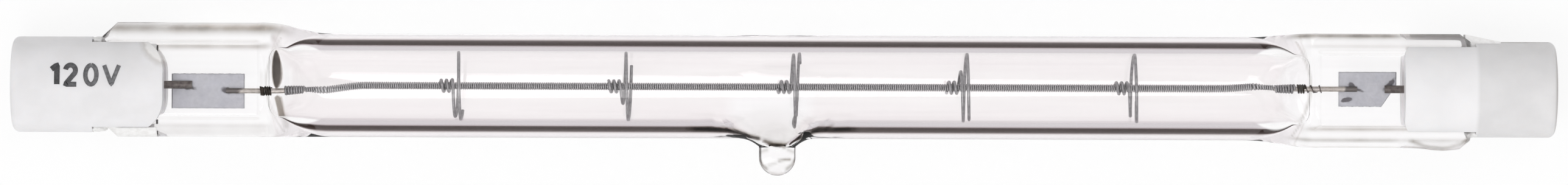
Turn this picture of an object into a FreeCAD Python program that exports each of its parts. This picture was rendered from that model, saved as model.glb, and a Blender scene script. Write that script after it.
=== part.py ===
import FreeCAD, Part
import math
import os
import Sketcher

# A double-ended linear halogen lamp: a quartz tube pinched flat at both ends, with a filament
# strung along it on five spiral supports, and a slotted ceramic cap cemented on each end.
# The origin is on the tube's axis, half way between the ends of the caps. X runs along the lamp.
# Each piece is drawn with the broad face of the pinch towards -Y and the exhaust tip straight
# down. Its Placement then lays it over by a quarter turn about X, so the lamp lies on its tube
# with the broad face up and the tip level, towards -Y. Its weight is so near the axis that it
# stays as it is laid.

# Every size in millimetres: name, value, what it measures.
SIZE_TABLE = [
    ("overall_length", 117.6, "end of one cap to end of the other"),
    ("tube_outer_diameter", 7.88, "round part of the quartz tube"),
    ("tube_wall", 1.25, "thickness of the quartz"),
    ("left_cavity_setback", 19.6, "end of the left cap to the end of the hollow"),
    ("right_cavity_setback", 18.8, "end of the right cap to the end of the hollow"),
    ("shoulder_length", 5.0, "round tube to flat pinch"),
    ("pinch_start_gap", 0.4, "end of the hollow to the start of the flat pinch"),
    ("pinch_width", 8.7, "flat pinch across its broad face"),
    ("pinch_thickness", 3.0, "flat pinch over its two rims"),
    ("pinch_edge_round", 0.9, "rounding of the long edges of the pinch"),
    ("left_pinch_shift", 0.4, "centre of the left pinch above the tube's axis"),
    ("right_pinch_shift", -0.12, "centre of the right pinch above the tube's axis"),
    ("web_width", 6.2, "sunk middle of the pinch between its rims"),
    ("web_depth", 0.25, "how far the middle is sunk on each face"),
    ("left_pinch_floor_gap", 0.7, "cut end of the left pinch to the floor of the cap's slot"),
    ("right_pinch_floor_gap", 0.4, "cut end of the right pinch to the floor of the cap's slot"),
    ("left_corner_run", 1.2, "slanted corner of the left pinch, along the lamp"),
    ("left_corner_drop", 1.1, "slanted corner of the left pinch, across the lamp"),
    ("right_corner_run", 0.8, "slanted corner of the right pinch, along the lamp"),
    ("right_corner_drop", 0.6, "slanted corner of the right pinch, across the lamp"),
    ("tip_place", -0.5, "exhaust tip from the middle, along the lamp"),
    ("tip_diameter", 2.8, "stub of the exhaust tip"),
    ("tip_rise", 2.82, "surface of the tube to the end of the exhaust tip"),
    ("tip_flare", 1.3, "fillet where the tip leaves the tube"),
    ("funnel_mouth_diameter", 3.6, "hollow of the tip where it leaves the bore"),
    ("funnel_neck_diameter", 1.2, "hollow of the tip where it narrows"),
    ("funnel_end_diameter", 0.3, "hollow of the tip at its sealed end"),
    ("funnel_neck_drop", 0.16, "surface of the tube to the neck of the tip's hollow"),
    ("funnel_end_drop", 0.91, "surface of the tube to the sealed end of the tip's hollow"),
    ("cap_diameter", 7.3, "ceramic cap"),
    ("cap_length", 11.6, "ceramic cap, end to end of its ears"),
    ("cap_edge_round", 0.55, "rounding of the cap's outer edge"),
    ("slot_width", 3.36, "slot of the cap that takes the pinch"),
    ("slot_floor", 6.1, "end of the cap to the floor of its slot"),
    ("left_ear_round", 2.6, "corners of the ears of the left cap"),
    ("right_ear_round", 1.3, "corners of the ears of the right cap"),
    ("contact_recess", 1.7, "end of the cap to the face of the contact"),
    ("recess_diameter", 4.4, "recess of the cap in front of the contact"),
    ("contact_clearance", 0.1, "contact to its seat and its hole, all round"),
    ("contact_diameter", 3.7, "head of the contact button"),
    ("contact_thickness", 1.0, "head of the contact button"),
    ("contact_edge_round", 0.3, "rounding of the contact's face edge"),
    ("contact_shank_diameter", 1.6, "shank of the contact button"),
    ("contact_shank_length", 2.0, "shank of the contact button"),
    ("outer_lead_diameter", 0.6, "wire from the foil to the contact"),
    ("outer_lead_depth", 1.5, "end of the wire inside the contact's shank"),
    ("left_outer_weld", 1.55, "outer wire over the left foil"),
    ("right_outer_weld", 0.9, "outer wire over the right foil"),
    ("cement_setback", 0.3, "cement below the cap's round surface"),
    ("cement_ear_gap", 0.6, "end of the cement to the end of the ears"),
    ("spill_length", 1.9, "cement squeezed out over the right cap's barrel, past its slot"),
    ("spill_rise", 0.55, "height of that cement above the barrel, at the slot"),
    ("spill_width", 2.0, "width of that cement round the barrel"),
    ("foil_width", 2.65, "molybdenum foil across the lamp"),
    ("foil_thickness", 0.05, "molybdenum foil"),
    ("weld_plane", 0.16, "front of the foil behind the lamp's axis"),
    ("left_foil_gap", 1.95, "end of the hollow to the inner end of the left foil"),
    ("left_foil_length", 5.55, "left foil along the lamp"),
    ("left_foil_height", -0.46, "middle of the left foil above the axis"),
    ("right_foil_gap", 2.3, "end of the hollow to the inner end of the right foil"),
    ("right_foil_length", 4.4, "right foil along the lamp"),
    ("right_foil_height", 0.0, "middle of the right foil above the axis"),
    ("inner_lead_diameter", 0.4, "wire from the foil into the hollow"),
    ("inner_weld", 1.4, "inner wire over the foil"),
    ("left_lead_height", -0.45, "inner wire above the axis, left"),
    ("right_lead_height", 0.0, "inner wire above the axis, right"),
    ("spud_diameter", 0.8, "overwound end that carries the filament"),
    ("spud_length", 1.7, "overwound end along the lamp"),
    ("left_filament_gap", 2.95, "left end of the filament to the end of the hollow"),
    ("right_filament_gap", 2.85, "right end of the filament to the end of the hollow"),
    ("filament_diameter", 0.6, "outside of the filament's coil"),
    ("filament_bore", 0.34, "inside of the filament's coil"),
    ("filament_bend_length", 4.5, "stretch in which the filament runs down to a lower end"),
    ("left_support_setback", 11.25, "first support from the left end of the filament"),
    ("right_support_setback", 10.63, "last support from the right end of the filament"),
    ("support_wire", 0.24, "wire of a support"),
    ("support_wall_gap", 0.03, "loop of a support to the bore of the tube"),
    ("support_grip_gap", 0.01, "grip of a support to the filament"),
    ("support_grip_length", 0.9, "grip of a support along the filament"),
    ("support_arm_length", 0.35, "arm of a support, along the filament"),
    ("support_loop_lean", 0.45, "loop of a support, start to end along the lamp"),
]

LEFT, RIGHT = -1, 1
SIDE_NAMES = {LEFT: "left", RIGHT: "right"}

# Where the shoulder's middle sections are, as shares of its length, and how round they still are.
SHOULDER_SHARES = (0.35, 0.7)
SHOULDER_ROUNDNESS = 0.97

# Sections of the closing hollow: a share of its length, then its height and width as shares of the bore.
HOLLOW_SECTIONS = ((0.5, 1.0, 0.62), (0.83, 0.98, 0.22), (1.0, 0.7, 0.07))

SUPPORT_COUNT = 5
GRIP_TURNS, ARM_TURNS, LOOP_TURNS = 2.25, 0.6, 1.0
POINTS_PER_TURN = 20
SUPPORT_PHASE_STEP = math.radians(97)

doc = FreeCAD.newDocument("LinearHalogenLamp")
sheet = doc.addObject("Spreadsheet::Sheet", "Sizes")
for row, (alias, number, note) in enumerate(SIZE_TABLE, start=1):
    sheet.set(f"A{row}", alias.replace("_", " "))
    sheet.set(f"B{row}", str(number))
    sheet.setAlias(f"B{row}", alias)
    sheet.set(f"C{row}", note)
doc.recompute()

# Sizes that several pieces share, each worked out from the sheet.
TUBE_RADIUS = "Sizes.tube_outer_diameter / 2"
BORE_RADIUS = "(Sizes.tube_outer_diameter / 2 - Sizes.tube_wall)"
HALF_LENGTH = "Sizes.overall_length / 2"
SLOT_FLOOR_X = "(Sizes.overall_length / 2 - Sizes.slot_floor)"
EAR_END_X = "(Sizes.overall_length / 2 - Sizes.cap_length)"
CONTACT_FACE_X = "(Sizes.overall_length / 2 - Sizes.contact_recess)"
TIP_CENTRE_DROP = "(Sizes.tube_outer_diameter / 2 + Sizes.tip_rise - Sizes.tip_diameter / 2)"
QUARTER_TURN = 90


def value(expression):
    """The number that an expression on the sheet gives."""
    result = sheet.evalExpression(str(expression))
    return float(getattr(result, "Value", result))


def of_side(side, name):
    """The sheet's size of that name for one end of the lamp."""
    return f"Sizes.{SIDE_NAMES[side]}_{name}"


def cavity_reach(side):
    """Middle of the lamp to the end of the hollow."""
    return f"({HALF_LENGTH} - {of_side(side, 'cavity_setback')})"


def pinch_end(side):
    """Middle of the lamp to the cut end of the pinch."""
    return f"({SLOT_FLOOR_X} - {of_side(side, 'pinch_floor_gap')})"


def foil_start(side):
    """Middle of the lamp to the inner end of the foil."""
    return f"({cavity_reach(side)} + {of_side(side, 'foil_gap')})"


def filament_end(side):
    """Middle of the lamp to the end of the filament."""
    return f"({cavity_reach(side)} - {of_side(side, 'filament_gap')})"


def lay_down(piece):
    """Turn a piece about the lamp's axis, from tip down to broad face up."""
    piece.Placement = FreeCAD.Placement(
        FreeCAD.Vector(0, 0, 0), FreeCAD.Rotation(FreeCAD.Vector(1, 0, 0), -QUARTER_TURN))


def new_body(label):
    body = doc.addObject("PartDesign::Body", label)
    body.Label = label
    lay_down(body)
    return body


def new_sketch(body, name, plane_role, offset=None):
    """A sketch on one of the body's own origin planes, shifted along the plane's normal."""
    plane = next(feature for feature in body.Origin.OriginFeatures if feature.Role == plane_role)
    sketch = body.newObject("Sketcher::SketchObject", name)
    sketch.AttachmentSupport = [(plane, "")]
    sketch.MapMode = "FlatFace"
    if offset is not None:
        sketch.setExpression("AttachmentOffset.Base.z", str(offset))
    return sketch


def hold_point(sketch, shape, end, across, up):
    """Hold one point of a sketch at two distances from its origin, each bound to the sheet."""
    for kind, axis, expression in (("DistanceX", -2, across), ("DistanceY", -1, up)):
        number = value(expression)
        if abs(number) < 1e-9:
            sketch.addConstraint(Sketcher.Constraint("PointOnObject", shape, end, axis))
        elif number > 0:
            held = sketch.addConstraint(Sketcher.Constraint(kind, -1, 1, shape, end, number))
            sketch.setExpression(f"Constraints[{held}]", str(expression))
        else:
            held = sketch.addConstraint(Sketcher.Constraint(kind, shape, end, -1, 1, -number))
            sketch.setExpression(f"Constraints[{held}]", f"-({expression})")


def draw_polygon(sketch, corners):
    """A closed outline of straight lines through corners that the sheet places."""
    points = [FreeCAD.Vector(value(across), value(up), 0) for across, up in corners]
    lines = []
    for start, finish in zip(points, points[1:] + points[:1]):
        lines.append(sketch.addGeometry(Part.LineSegment(start, finish), False))
    for line, following in zip(lines, lines[1:] + lines[:1]):
        sketch.addConstraint(Sketcher.Constraint("Coincident", line, 2, following, 1))
    for line, (across, up) in zip(lines, corners):
        hold_point(sketch, line, 1, across, up)


def draw_circle(sketch, across, up, radius):
    centre = FreeCAD.Vector(value(across), value(up), 0)
    circle = sketch.addGeometry(Part.Circle(centre, FreeCAD.Vector(0, 0, 1), value(radius)), False)
    hold_point(sketch, circle, 3, across, up)
    held = sketch.addConstraint(Sketcher.Constraint("Radius", circle, value(radius)))
    sketch.setExpression(f"Constraints[{held}]", str(radius))


def draw_upright_ellipse(sketch, half_height, half_width):
    """An ellipse on the origin, taller than wide, its two diameters bound to the sheet."""
    top = FreeCAD.Vector(0, value(half_height), 0)
    side = FreeCAD.Vector(value(half_width), 0, 0)
    ellipse = sketch.addGeometry(Part.Ellipse(top, side, FreeCAD.Vector(0, 0, 0)), False)
    sketch.exposeInternalGeometry(ellipse)
    long_axis, short_axis = ellipse + 1, ellipse + 2
    sketch.addConstraint(Sketcher.Constraint("Coincident", ellipse, 3, -1, 1))
    sketch.addConstraint(Sketcher.Constraint("Vertical", long_axis))
    for line, half in ((long_axis, half_height), (short_axis, half_width)):
        held = sketch.addConstraint(Sketcher.Constraint("Distance", line, 2 * value(half)))
        sketch.setExpression(f"Constraints[{held}]", f"2 * ({half})")


def draw_rounded_oblong(sketch, half_width, half_height, corner, rise):
    """A rounded oblong centred on the up axis, at a height of rise, all bound to the sheet."""
    wide, tall, bend, lift = (value(size) for size in (half_width, half_height, corner, rise))
    quarter = math.pi / 2
    flat_u, flat_v = wide - bend, tall - bend
    ends = [
        ((wide, -flat_v), (wide, flat_v)),
        ((flat_u, tall), (-flat_u, tall)),
        ((-wide, flat_v), (-wide, -flat_v)),
        ((-flat_u, -tall), (flat_u, -tall)),
    ]
    centres = [(flat_u, flat_v), (-flat_u, flat_v), (-flat_u, -flat_v), (flat_u, -flat_v)]
    lines, arcs = [], []
    for turn, (start, finish) in enumerate(ends):
        first = FreeCAD.Vector(start[0], start[1] + lift, 0)
        last = FreeCAD.Vector(finish[0], finish[1] + lift, 0)
        lines.append(sketch.addGeometry(Part.LineSegment(first, last), False))
        centre = FreeCAD.Vector(centres[turn][0], centres[turn][1] + lift, 0)
        circle = Part.Circle(centre, FreeCAD.Vector(0, 0, 1), bend)
        arc = Part.ArcOfCircle(circle, turn * quarter, (turn + 1) * quarter)
        arcs.append(sketch.addGeometry(arc, False))
    for turn in range(4):
        sketch.addConstraint(Sketcher.Constraint("Tangent", lines[turn], 2, arcs[turn], 1))
        sketch.addConstraint(Sketcher.Constraint("Tangent", arcs[turn], 2, lines[(turn + 1) % 4], 1))
        sketch.addConstraint(Sketcher.Constraint("Horizontal" if turn % 2 else "Vertical", lines[turn]))
    for arc in arcs[1:]:
        sketch.addConstraint(Sketcher.Constraint("Equal", arcs[0], arc))
    held = sketch.addConstraint(Sketcher.Constraint("Radius", arcs[0], bend))
    sketch.setExpression(f"Constraints[{held}]", str(corner))
    span = sketch.addConstraint(Sketcher.Constraint("DistanceX", lines[1], 2, lines[1], 1, 2 * flat_u))
    sketch.setExpression(f"Constraints[{span}]", f"2 * (({half_width}) - ({corner}))")
    side = sketch.addConstraint(Sketcher.Constraint("DistanceX", -1, 1, lines[0], 1, wide))
    sketch.setExpression(f"Constraints[{side}]", str(half_width))
    top = sketch.addConstraint(Sketcher.Constraint("DistanceY", -1, 1, lines[1], 1, tall + lift))
    sketch.setExpression(f"Constraints[{top}]", f"({half_height}) + ({rise})")
    bottom = sketch.addConstraint(Sketcher.Constraint("DistanceY", lines[3], 1, -1, 1, tall - lift))
    sketch.setExpression(f"Constraints[{bottom}]", f"({half_height}) - ({rise})")


def add_extrusion(body, kind, name, sketch, length, midplane=False, backwards=False):
    """A Pad or Pocket of a sketch, with its length bound to the sheet."""
    feature = body.newObject(f"PartDesign::{kind}", name)
    feature.Profile = sketch
    feature.SideType = "Symmetric" if midplane else "One side"
    feature.setExpression("Length", length)
    feature.Reversed = backwards
    return feature


def add_turned(body, kind, name, sketch, axis):
    """A full turn of a sketch, added or cut away, about one of the sketch's own axes."""
    feature = body.newObject(f"PartDesign::{kind}", name)
    feature.Profile = sketch
    feature.ReferenceAxis = (sketch, [axis])
    feature.Angle = 360
    return feature


def add_loft(body, kind, name, sketches):
    feature = body.newObject(f"PartDesign::{kind}", name)
    feature.Profile = sketches[0]
    feature.Sections = sketches[1:]
    return feature


def round_edges(body, name, base, wanted, radius):
    """A fillet on those edges of a feature that the test picks out."""
    doc.recompute()
    names = [f"Edge{number}" for number, edge in enumerate(base.Shape.Edges, start=1) if wanted(edge)]
    fillet = body.newObject("PartDesign::Fillet", name)
    fillet.Base = (base, names)
    fillet.setExpression("Radius", radius)
    return fillet


def ease(share):
    """A share of the shoulder's length as a share of its change of section, level at both ends."""
    return (1 - math.cos(math.pi * share)) / 2


def shoulder_start(side):
    return f"({pinch_start(side)} - Sizes.shoulder_length)"


def pinch_start(side):
    return f"({cavity_reach(side)} + Sizes.pinch_start_gap)"


def add_shoulder_and_pinch(body, side):
    """The tube squeezed flat at one end: a soft shoulder, the flat pinch and its cut corners."""
    name = SIDE_NAMES[side]
    shift = of_side(side, "pinch_shift")
    rim = new_sketch(body, f"{name}_tube_end", "YZ_Plane", f"{side} * {shoulder_start(side)}")
    draw_circle(rim, 0, 0, TUBE_RADIUS)
    sections = [rim]
    for step, share in enumerate(SHOULDER_SHARES, start=1):
        eased = ease(share)
        place = f"{side} * ({shoulder_start(side)} + {share} * Sizes.shoulder_length)"
        section = new_sketch(body, f"{name}_shoulder_{step}", "YZ_Plane", place)
        half_thickness = f"({TUBE_RADIUS} * {1 - eased:.4f} + Sizes.pinch_thickness / 2 * {eased:.4f})"
        half_width = f"({TUBE_RADIUS} * {1 - eased:.4f} + Sizes.pinch_width / 2 * {eased:.4f})"
        still_round = SHOULDER_ROUNDNESS * (1 - eased)
        corner = f"({TUBE_RADIUS} * {still_round:.4f} + Sizes.pinch_edge_round * {eased:.4f})"
        draw_rounded_oblong(section, half_thickness, half_width, corner, f"{shift} * {eased:.4f}")
        sections.append(section)
    flat = new_sketch(body, f"{name}_pinch_section", "YZ_Plane", f"{side} * {pinch_start(side)}")
    draw_rounded_oblong(flat, "Sizes.pinch_thickness / 2", "Sizes.pinch_width / 2",
                        "Sizes.pinch_edge_round", shift)
    sections.append(flat)
    add_loft(body, "AdditiveLoft", f"{name}_shoulder", sections)

    length = f"{pinch_end(side)} - {pinch_start(side)}"
    blade_section = new_sketch(body, f"{name}_blade_section", "YZ_Plane", f"{side} * {pinch_start(side)}")
    draw_rounded_oblong(blade_section, "Sizes.pinch_thickness / 2", "Sizes.pinch_width / 2",
                        "Sizes.pinch_edge_round", shift)
    add_extrusion(body, "Pad", f"{name}_blade", blade_section, length, backwards=side == LEFT)

    end = pinch_end(side)
    run, drop = of_side(side, "corner_run"), of_side(side, "corner_drop")
    for level, word in ((1, "upper"), (-1, "lower")):
        edge = f"({shift} + {level} * Sizes.pinch_width / 2)"
        corners = new_sketch(body, f"{name}_{word}_corner", "XZ_Plane")
        draw_polygon(corners, [
            (f"{side} * ({end} - {run})", edge),
            (f"{side} * {end}", f"{edge} - {level} * {drop}"),
            (f"{side} * ({end} + {run})", f"{edge} + {level} * {drop}"),
        ])
        add_extrusion(body, "Pocket", f"{name}_{word}_corner_cut", corners,
                      "2 * Sizes.pinch_thickness", midplane=True)

    web_start = f"({pinch_start(side)} + Sizes.web_depth)"
    for face, word in ((1, "back"), (-1, "front")):
        web = new_sketch(body, f"{name}_{word}_web_outline", "YZ_Plane", f"{side} * {end}")
        outside = f"{face} * Sizes.pinch_thickness"
        floor = f"{face} * (Sizes.pinch_thickness / 2 - Sizes.web_depth)"
        low, high = f"{shift} - Sizes.web_width / 2", f"{shift} + Sizes.web_width / 2"
        draw_polygon(web, [(floor, low), (outside, low), (outside, high), (floor, high)])
        add_extrusion(body, "Pocket", f"{name}_{word}_web", web, f"{end} - {web_start}",
                      backwards=side == LEFT)


def add_hollow_end(body, side):
    """The end of the hollow, closed by the pinch from a circle to a thin lens."""
    name = SIDE_NAMES[side]
    length = f"({cavity_reach(side)} - {shoulder_start(side)})"
    mouth = new_sketch(body, f"{name}_hollow_mouth", "YZ_Plane", f"{side} * {shoulder_start(side)}")
    draw_circle(mouth, 0, 0, BORE_RADIUS)
    sections = [mouth]
    for step, (share, tall, thin) in enumerate(HOLLOW_SECTIONS, start=1):
        place = f"{side} * ({shoulder_start(side)} + {share} * {length})"
        section = new_sketch(body, f"{name}_hollow_{step}", "YZ_Plane", place)
        draw_upright_ellipse(section, f"{tall} * {BORE_RADIUS}", f"{thin} * {BORE_RADIUS}")
        sections.append(section)
    add_loft(body, "SubtractiveLoft", f"{name}_hollow_end", sections)


def make_envelope_blank():
    """The quartz tube with both pinches, the exhaust tip and the hollow inside."""
    body = new_body("envelope_blank")
    tube_start = new_sketch(body, "tube_section", "YZ_Plane", f"-{shoulder_start(LEFT)}")
    draw_circle(tube_start, 0, 0, TUBE_RADIUS)
    tube_length = f"{shoulder_start(LEFT)} + {shoulder_start(RIGHT)}"
    add_extrusion(body, "Pad", "tube", tube_start, tube_length)
    tip = new_sketch(body, "tip_section", "XY_Plane", "-Sizes.tube_outer_diameter / 4")
    draw_circle(tip, "Sizes.tip_place", 0, "Sizes.tip_diameter / 2")
    stub_length = f"{TIP_CENTRE_DROP} - Sizes.tube_outer_diameter / 4"
    stub = add_extrusion(body, "Pad", "tip_stub", tip, stub_length, backwards=True)
    tube_radius = value(TUBE_RADIUS)
    stub_radius = value("Sizes.tip_diameter / 2")

    def leaves_tube(edge):
        """The saddle-shaped edge between the stub and the tube."""
        box = edge.BoundBox
        near_tip = abs(box.XLength - 2 * stub_radius) < 0.01 and abs(box.YLength - 2 * stub_radius) < 0.01
        return near_tip and -tube_radius - 0.01 < box.ZMin and box.ZLength > 0.01

    round_edges(body, "tip_flare", stub, leaves_tube, "Sizes.tip_flare")
    bead = new_sketch(body, "bead_outline", "XZ_Plane")
    draw_bead(bead)
    add_turned(body, "Revolution", "tip_bead", bead, "Axis0")
    for side in (LEFT, RIGHT):
        add_shoulder_and_pinch(body, side)
    bore = new_sketch(body, "bore_section", "YZ_Plane", f"-{shoulder_start(LEFT)}")
    draw_circle(bore, 0, 0, BORE_RADIUS)
    add_extrusion(body, "Pocket", "bore", bore, tube_length, backwards=True)
    for side in (LEFT, RIGHT):
        add_hollow_end(body, side)
    funnel = new_sketch(body, "funnel_outline", "XZ_Plane")
    draw_funnel(funnel)
    add_turned(body, "Groove", "tip_funnel", funnel, "Axis0")
    return body


def draw_upright_axis(sketch):
    """A construction line down the exhaust tip, to turn the tip's outlines about."""
    top = FreeCAD.Vector(value("Sizes.tip_place"), 0, 0)
    bottom = FreeCAD.Vector(value("Sizes.tip_place"), -value(TIP_CENTRE_DROP), 0)
    line = sketch.addGeometry(Part.LineSegment(top, bottom), True)
    hold_point(sketch, line, 1, "Sizes.tip_place", 0)
    hold_point(sketch, line, 2, "Sizes.tip_place", f"-{TIP_CENTRE_DROP}")


def draw_bead(sketch):
    """A quarter circle that turns into the round end of the exhaust tip."""
    draw_upright_axis(sketch)
    radius = value("Sizes.tip_diameter / 2")
    centre = FreeCAD.Vector(value("Sizes.tip_place"), -value(TIP_CENTRE_DROP), 0)
    circle = Part.Circle(centre, FreeCAD.Vector(0, 0, 1), radius)
    side_point = centre + FreeCAD.Vector(radius, 0, 0)
    low_point = centre - FreeCAD.Vector(0, radius, 0)
    arc = sketch.addGeometry(Part.ArcOfCircle(circle, -math.pi / 2, 0), False)
    across = sketch.addGeometry(Part.LineSegment(side_point, centre), False)
    down = sketch.addGeometry(Part.LineSegment(centre, low_point), False)
    sketch.addConstraint(Sketcher.Constraint("Coincident", arc, 2, across, 1))
    sketch.addConstraint(Sketcher.Constraint("Coincident", across, 2, down, 1))
    sketch.addConstraint(Sketcher.Constraint("Coincident", down, 2, arc, 1))
    sketch.addConstraint(Sketcher.Constraint("Coincident", arc, 3, across, 2))
    sketch.addConstraint(Sketcher.Constraint("Horizontal", across))
    sketch.addConstraint(Sketcher.Constraint("Vertical", down))
    hold_point(sketch, across, 2, "Sizes.tip_place", f"-{TIP_CENTRE_DROP}")
    held = sketch.addConstraint(Sketcher.Constraint("Radius", arc, radius))
    sketch.setExpression(f"Constraints[{held}]", "Sizes.tip_diameter / 2")


def draw_funnel(sketch):
    """Half the section of the tip's hollow: a cone into a short sealed neck."""
    draw_upright_axis(sketch)
    middle = "Sizes.tip_place"
    mouth = f"{middle} + Sizes.funnel_mouth_diameter / 2"
    neck = f"{middle} + Sizes.funnel_neck_diameter / 2"
    inside_bore = f"-{BORE_RADIUS} / 2"
    neck_level = f"-{TUBE_RADIUS} - Sizes.funnel_neck_drop"
    end_level = f"-{TUBE_RADIUS} - Sizes.funnel_end_drop"
    draw_polygon(sketch, [
        (middle, inside_bore),
        (middle, end_level),
        (f"{middle} + Sizes.funnel_end_diameter / 2", end_level),
        (neck, neck_level),
        (mouth, f"-{BORE_RADIUS}"),
        (mouth, inside_bore),
    ])


def make_cap(side):
    """A ceramic cap: a round barrel with a recess for the contact and a slot between two ears."""
    name = SIDE_NAMES[side]
    body = new_body(f"{name}_ceramic_cap")
    round_end = new_sketch(body, f"{name}_cap_circle", "YZ_Plane", f"{side} * {HALF_LENGTH}")
    draw_circle(round_end, 0, 0, "Sizes.cap_diameter / 2")
    barrel = add_extrusion(body, "Pad", f"{name}_barrel", round_end, "Sizes.cap_length",
                           backwards=side == RIGHT)
    end_x = side * value(HALF_LENGTH)

    def at_end(edge):
        return abs(edge.BoundBox.XMin - end_x) < 1e-4 and edge.BoundBox.XLength < 1e-4

    round_edges(body, f"{name}_end_round", barrel, at_end, "Sizes.cap_edge_round")
    slot = new_sketch(body, f"{name}_slot_outline", "XY_Plane")
    past_ears = f"{side} * ({EAR_END_X} - Sizes.cap_edge_round)"
    draw_polygon(slot, [
        (f"{side} * {SLOT_FLOOR_X}", "-Sizes.slot_width / 2"),
        (past_ears, "-Sizes.slot_width / 2"),
        (past_ears, "Sizes.slot_width / 2"),
        (f"{side} * {SLOT_FLOOR_X}", "Sizes.slot_width / 2"),
    ])
    add_extrusion(body, "Pocket", f"{name}_slot", slot, "2 * Sizes.cap_diameter", midplane=True)
    for word, radius, depth in (
        ("recess", "Sizes.recess_diameter / 2", "Sizes.contact_recess"),
        ("seat", "Sizes.contact_diameter / 2 + Sizes.contact_clearance",
         "Sizes.contact_recess + Sizes.contact_thickness"),
        ("lead_hole", "Sizes.contact_shank_diameter / 2 + Sizes.contact_clearance", "Sizes.slot_floor"),
    ):
        circle = new_sketch(body, f"{name}_{word}_circle", "YZ_Plane", f"{side} * {HALF_LENGTH}")
        draw_circle(circle, 0, 0, radius)
        add_extrusion(body, "Pocket", f"{name}_{word}", circle, depth, backwards=side == LEFT)
    cut_ear_corners(side, body)
    return body


def cut_ear_corners(side, body):
    """Round the ears' corners, as seen from the broad face of the pinch."""
    name = SIDE_NAMES[side]
    bend = of_side(side, "ear_round")
    radius = value(bend)
    half = value("Sizes.cap_diameter / 2")
    ear_x = value(EAR_END_X)
    for level, word in ((1, "upper"), (-1, "lower")):
        sketch = new_sketch(body, f"{name}_{word}_ear_corner", "XZ_Plane")
        centre = FreeCAD.Vector(side * (ear_x + radius), level * (half - radius), 0)
        start_angle = {(RIGHT, 1): 0.5, (RIGHT, -1): 1.0, (LEFT, 1): 0.0, (LEFT, -1): 1.5}[side, level]
        circle = Part.Circle(centre, FreeCAD.Vector(0, 0, 1), radius)
        arc = sketch.addGeometry(
            Part.ArcOfCircle(circle, start_angle * math.pi, (start_angle + 0.5) * math.pi), False)
        end_point = FreeCAD.Vector(side * ear_x, level * (half - radius), 0)
        side_point = FreeCAD.Vector(side * (ear_x + radius), level * half, 0)
        corner = FreeCAD.Vector(side * ear_x, level * half, 0)
        upright = sketch.addGeometry(Part.LineSegment(end_point, corner), False)
        level_line = sketch.addGeometry(Part.LineSegment(corner, side_point), False)
        arc_ends = (1, 2) if side * level < 0 else (2, 1)
        sketch.addConstraint(Sketcher.Constraint("Tangent", arc, arc_ends[0], upright, 1))
        sketch.addConstraint(Sketcher.Constraint("Coincident", upright, 2, level_line, 1))
        sketch.addConstraint(Sketcher.Constraint("Tangent", level_line, 2, arc, arc_ends[1]))
        sketch.addConstraint(Sketcher.Constraint("Horizontal", level_line))
        sketch.addConstraint(Sketcher.Constraint("Vertical", upright))
        held = sketch.addConstraint(Sketcher.Constraint("Radius", arc, radius))
        sketch.setExpression(f"Constraints[{held}]", bend)
        hold_point(sketch, upright, 2, f"{side} * {EAR_END_X}", f"{level} * Sizes.cap_diameter / 2")
        add_extrusion(body, "Pocket", f"{name}_{word}_ear_round", sketch,
                      "2 * Sizes.cap_diameter", midplane=True)


def make_contact(side):
    """A contact button turned with a shank that sits in the cap's hole and takes the outer wire."""
    name = SIDE_NAMES[side]
    body = new_body(f"{name}_contact_button")
    outline = new_sketch(body, f"{name}_contact_outline", "XY_Plane")
    face = f"{side} * {CONTACT_FACE_X}"
    back = f"{side} * ({CONTACT_FACE_X} - Sizes.contact_thickness)"
    shank_end = f"{side} * ({CONTACT_FACE_X} - Sizes.contact_thickness - Sizes.contact_shank_length)"
    blind_end = (f"{side} * ({CONTACT_FACE_X} - Sizes.contact_thickness"
                 " - Sizes.contact_shank_length + Sizes.outer_lead_depth)")
    head = "Sizes.contact_diameter / 2"
    shank = "Sizes.contact_shank_diameter / 2"
    wire = "Sizes.outer_lead_diameter / 2"
    draw_polygon(outline, [
        (face, 0), (face, head), (back, head), (back, shank),
        (shank_end, shank), (shank_end, wire), (blind_end, wire), (blind_end, 0),
    ])
    turned = add_turned(body, "Revolution", f"{name}_contact_turned", outline, "H_Axis")
    face_x = side * value(CONTACT_FACE_X)

    def at_face(edge):
        return abs(edge.BoundBox.XMin - face_x) < 1e-4 and edge.BoundBox.XLength < 1e-4

    round_edges(body, f"{name}_contact_round", turned, at_face, "Sizes.contact_edge_round")
    return body


def make_wire(label, side, outer_end, inner_end, height, diameter, weld):
    """A straight wire, flattened on its back where it is welded to the front of the foil."""
    body = new_body(label)
    section = new_sketch(body, f"{label}_circle", "YZ_Plane", f"{side} * ({inner_end})")
    draw_circle(section, 0, height, f"{diameter} / 2")
    add_extrusion(body, "Pad", f"{label}_rod", section, f"({outer_end}) - ({inner_end})",
                  backwards=side == LEFT)
    flat = new_sketch(body, f"{label}_weld_outline", "XY_Plane", height)
    near, far = weld
    draw_polygon(flat, [
        (f"{side} * ({near})", "Sizes.weld_plane"),
        (f"{side} * ({far})", "Sizes.weld_plane"),
        (f"{side} * ({far})", f"{diameter}"),
        (f"{side} * ({near})", f"{diameter}"),
    ])
    add_extrusion(body, "Pocket", f"{label}_weld_flat", flat, f"2 * {diameter}", midplane=True)
    return body


def make_foil(side):
    """The thin molybdenum foil that carries the current through the pinch."""
    label = f"{SIDE_NAMES[side]}_seal_foil"
    body = new_body(label)
    outline = new_sketch(body, f"{label}_outline", "XZ_Plane", "-Sizes.weld_plane")
    near = f"{side} * {foil_start(side)}"
    far = f"{side} * ({foil_start(side)} + {of_side(side, 'foil_length')})"
    low = f"{of_side(side, 'foil_height')} - Sizes.foil_width / 2"
    high = f"{of_side(side, 'foil_height')} + Sizes.foil_width / 2"
    draw_polygon(outline, [(near, low), (far, low), (far, high), (near, high)])
    add_extrusion(body, "Pad", f"{label}_sheet", outline, "Sizes.foil_thickness", backwards=True)
    return body


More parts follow.
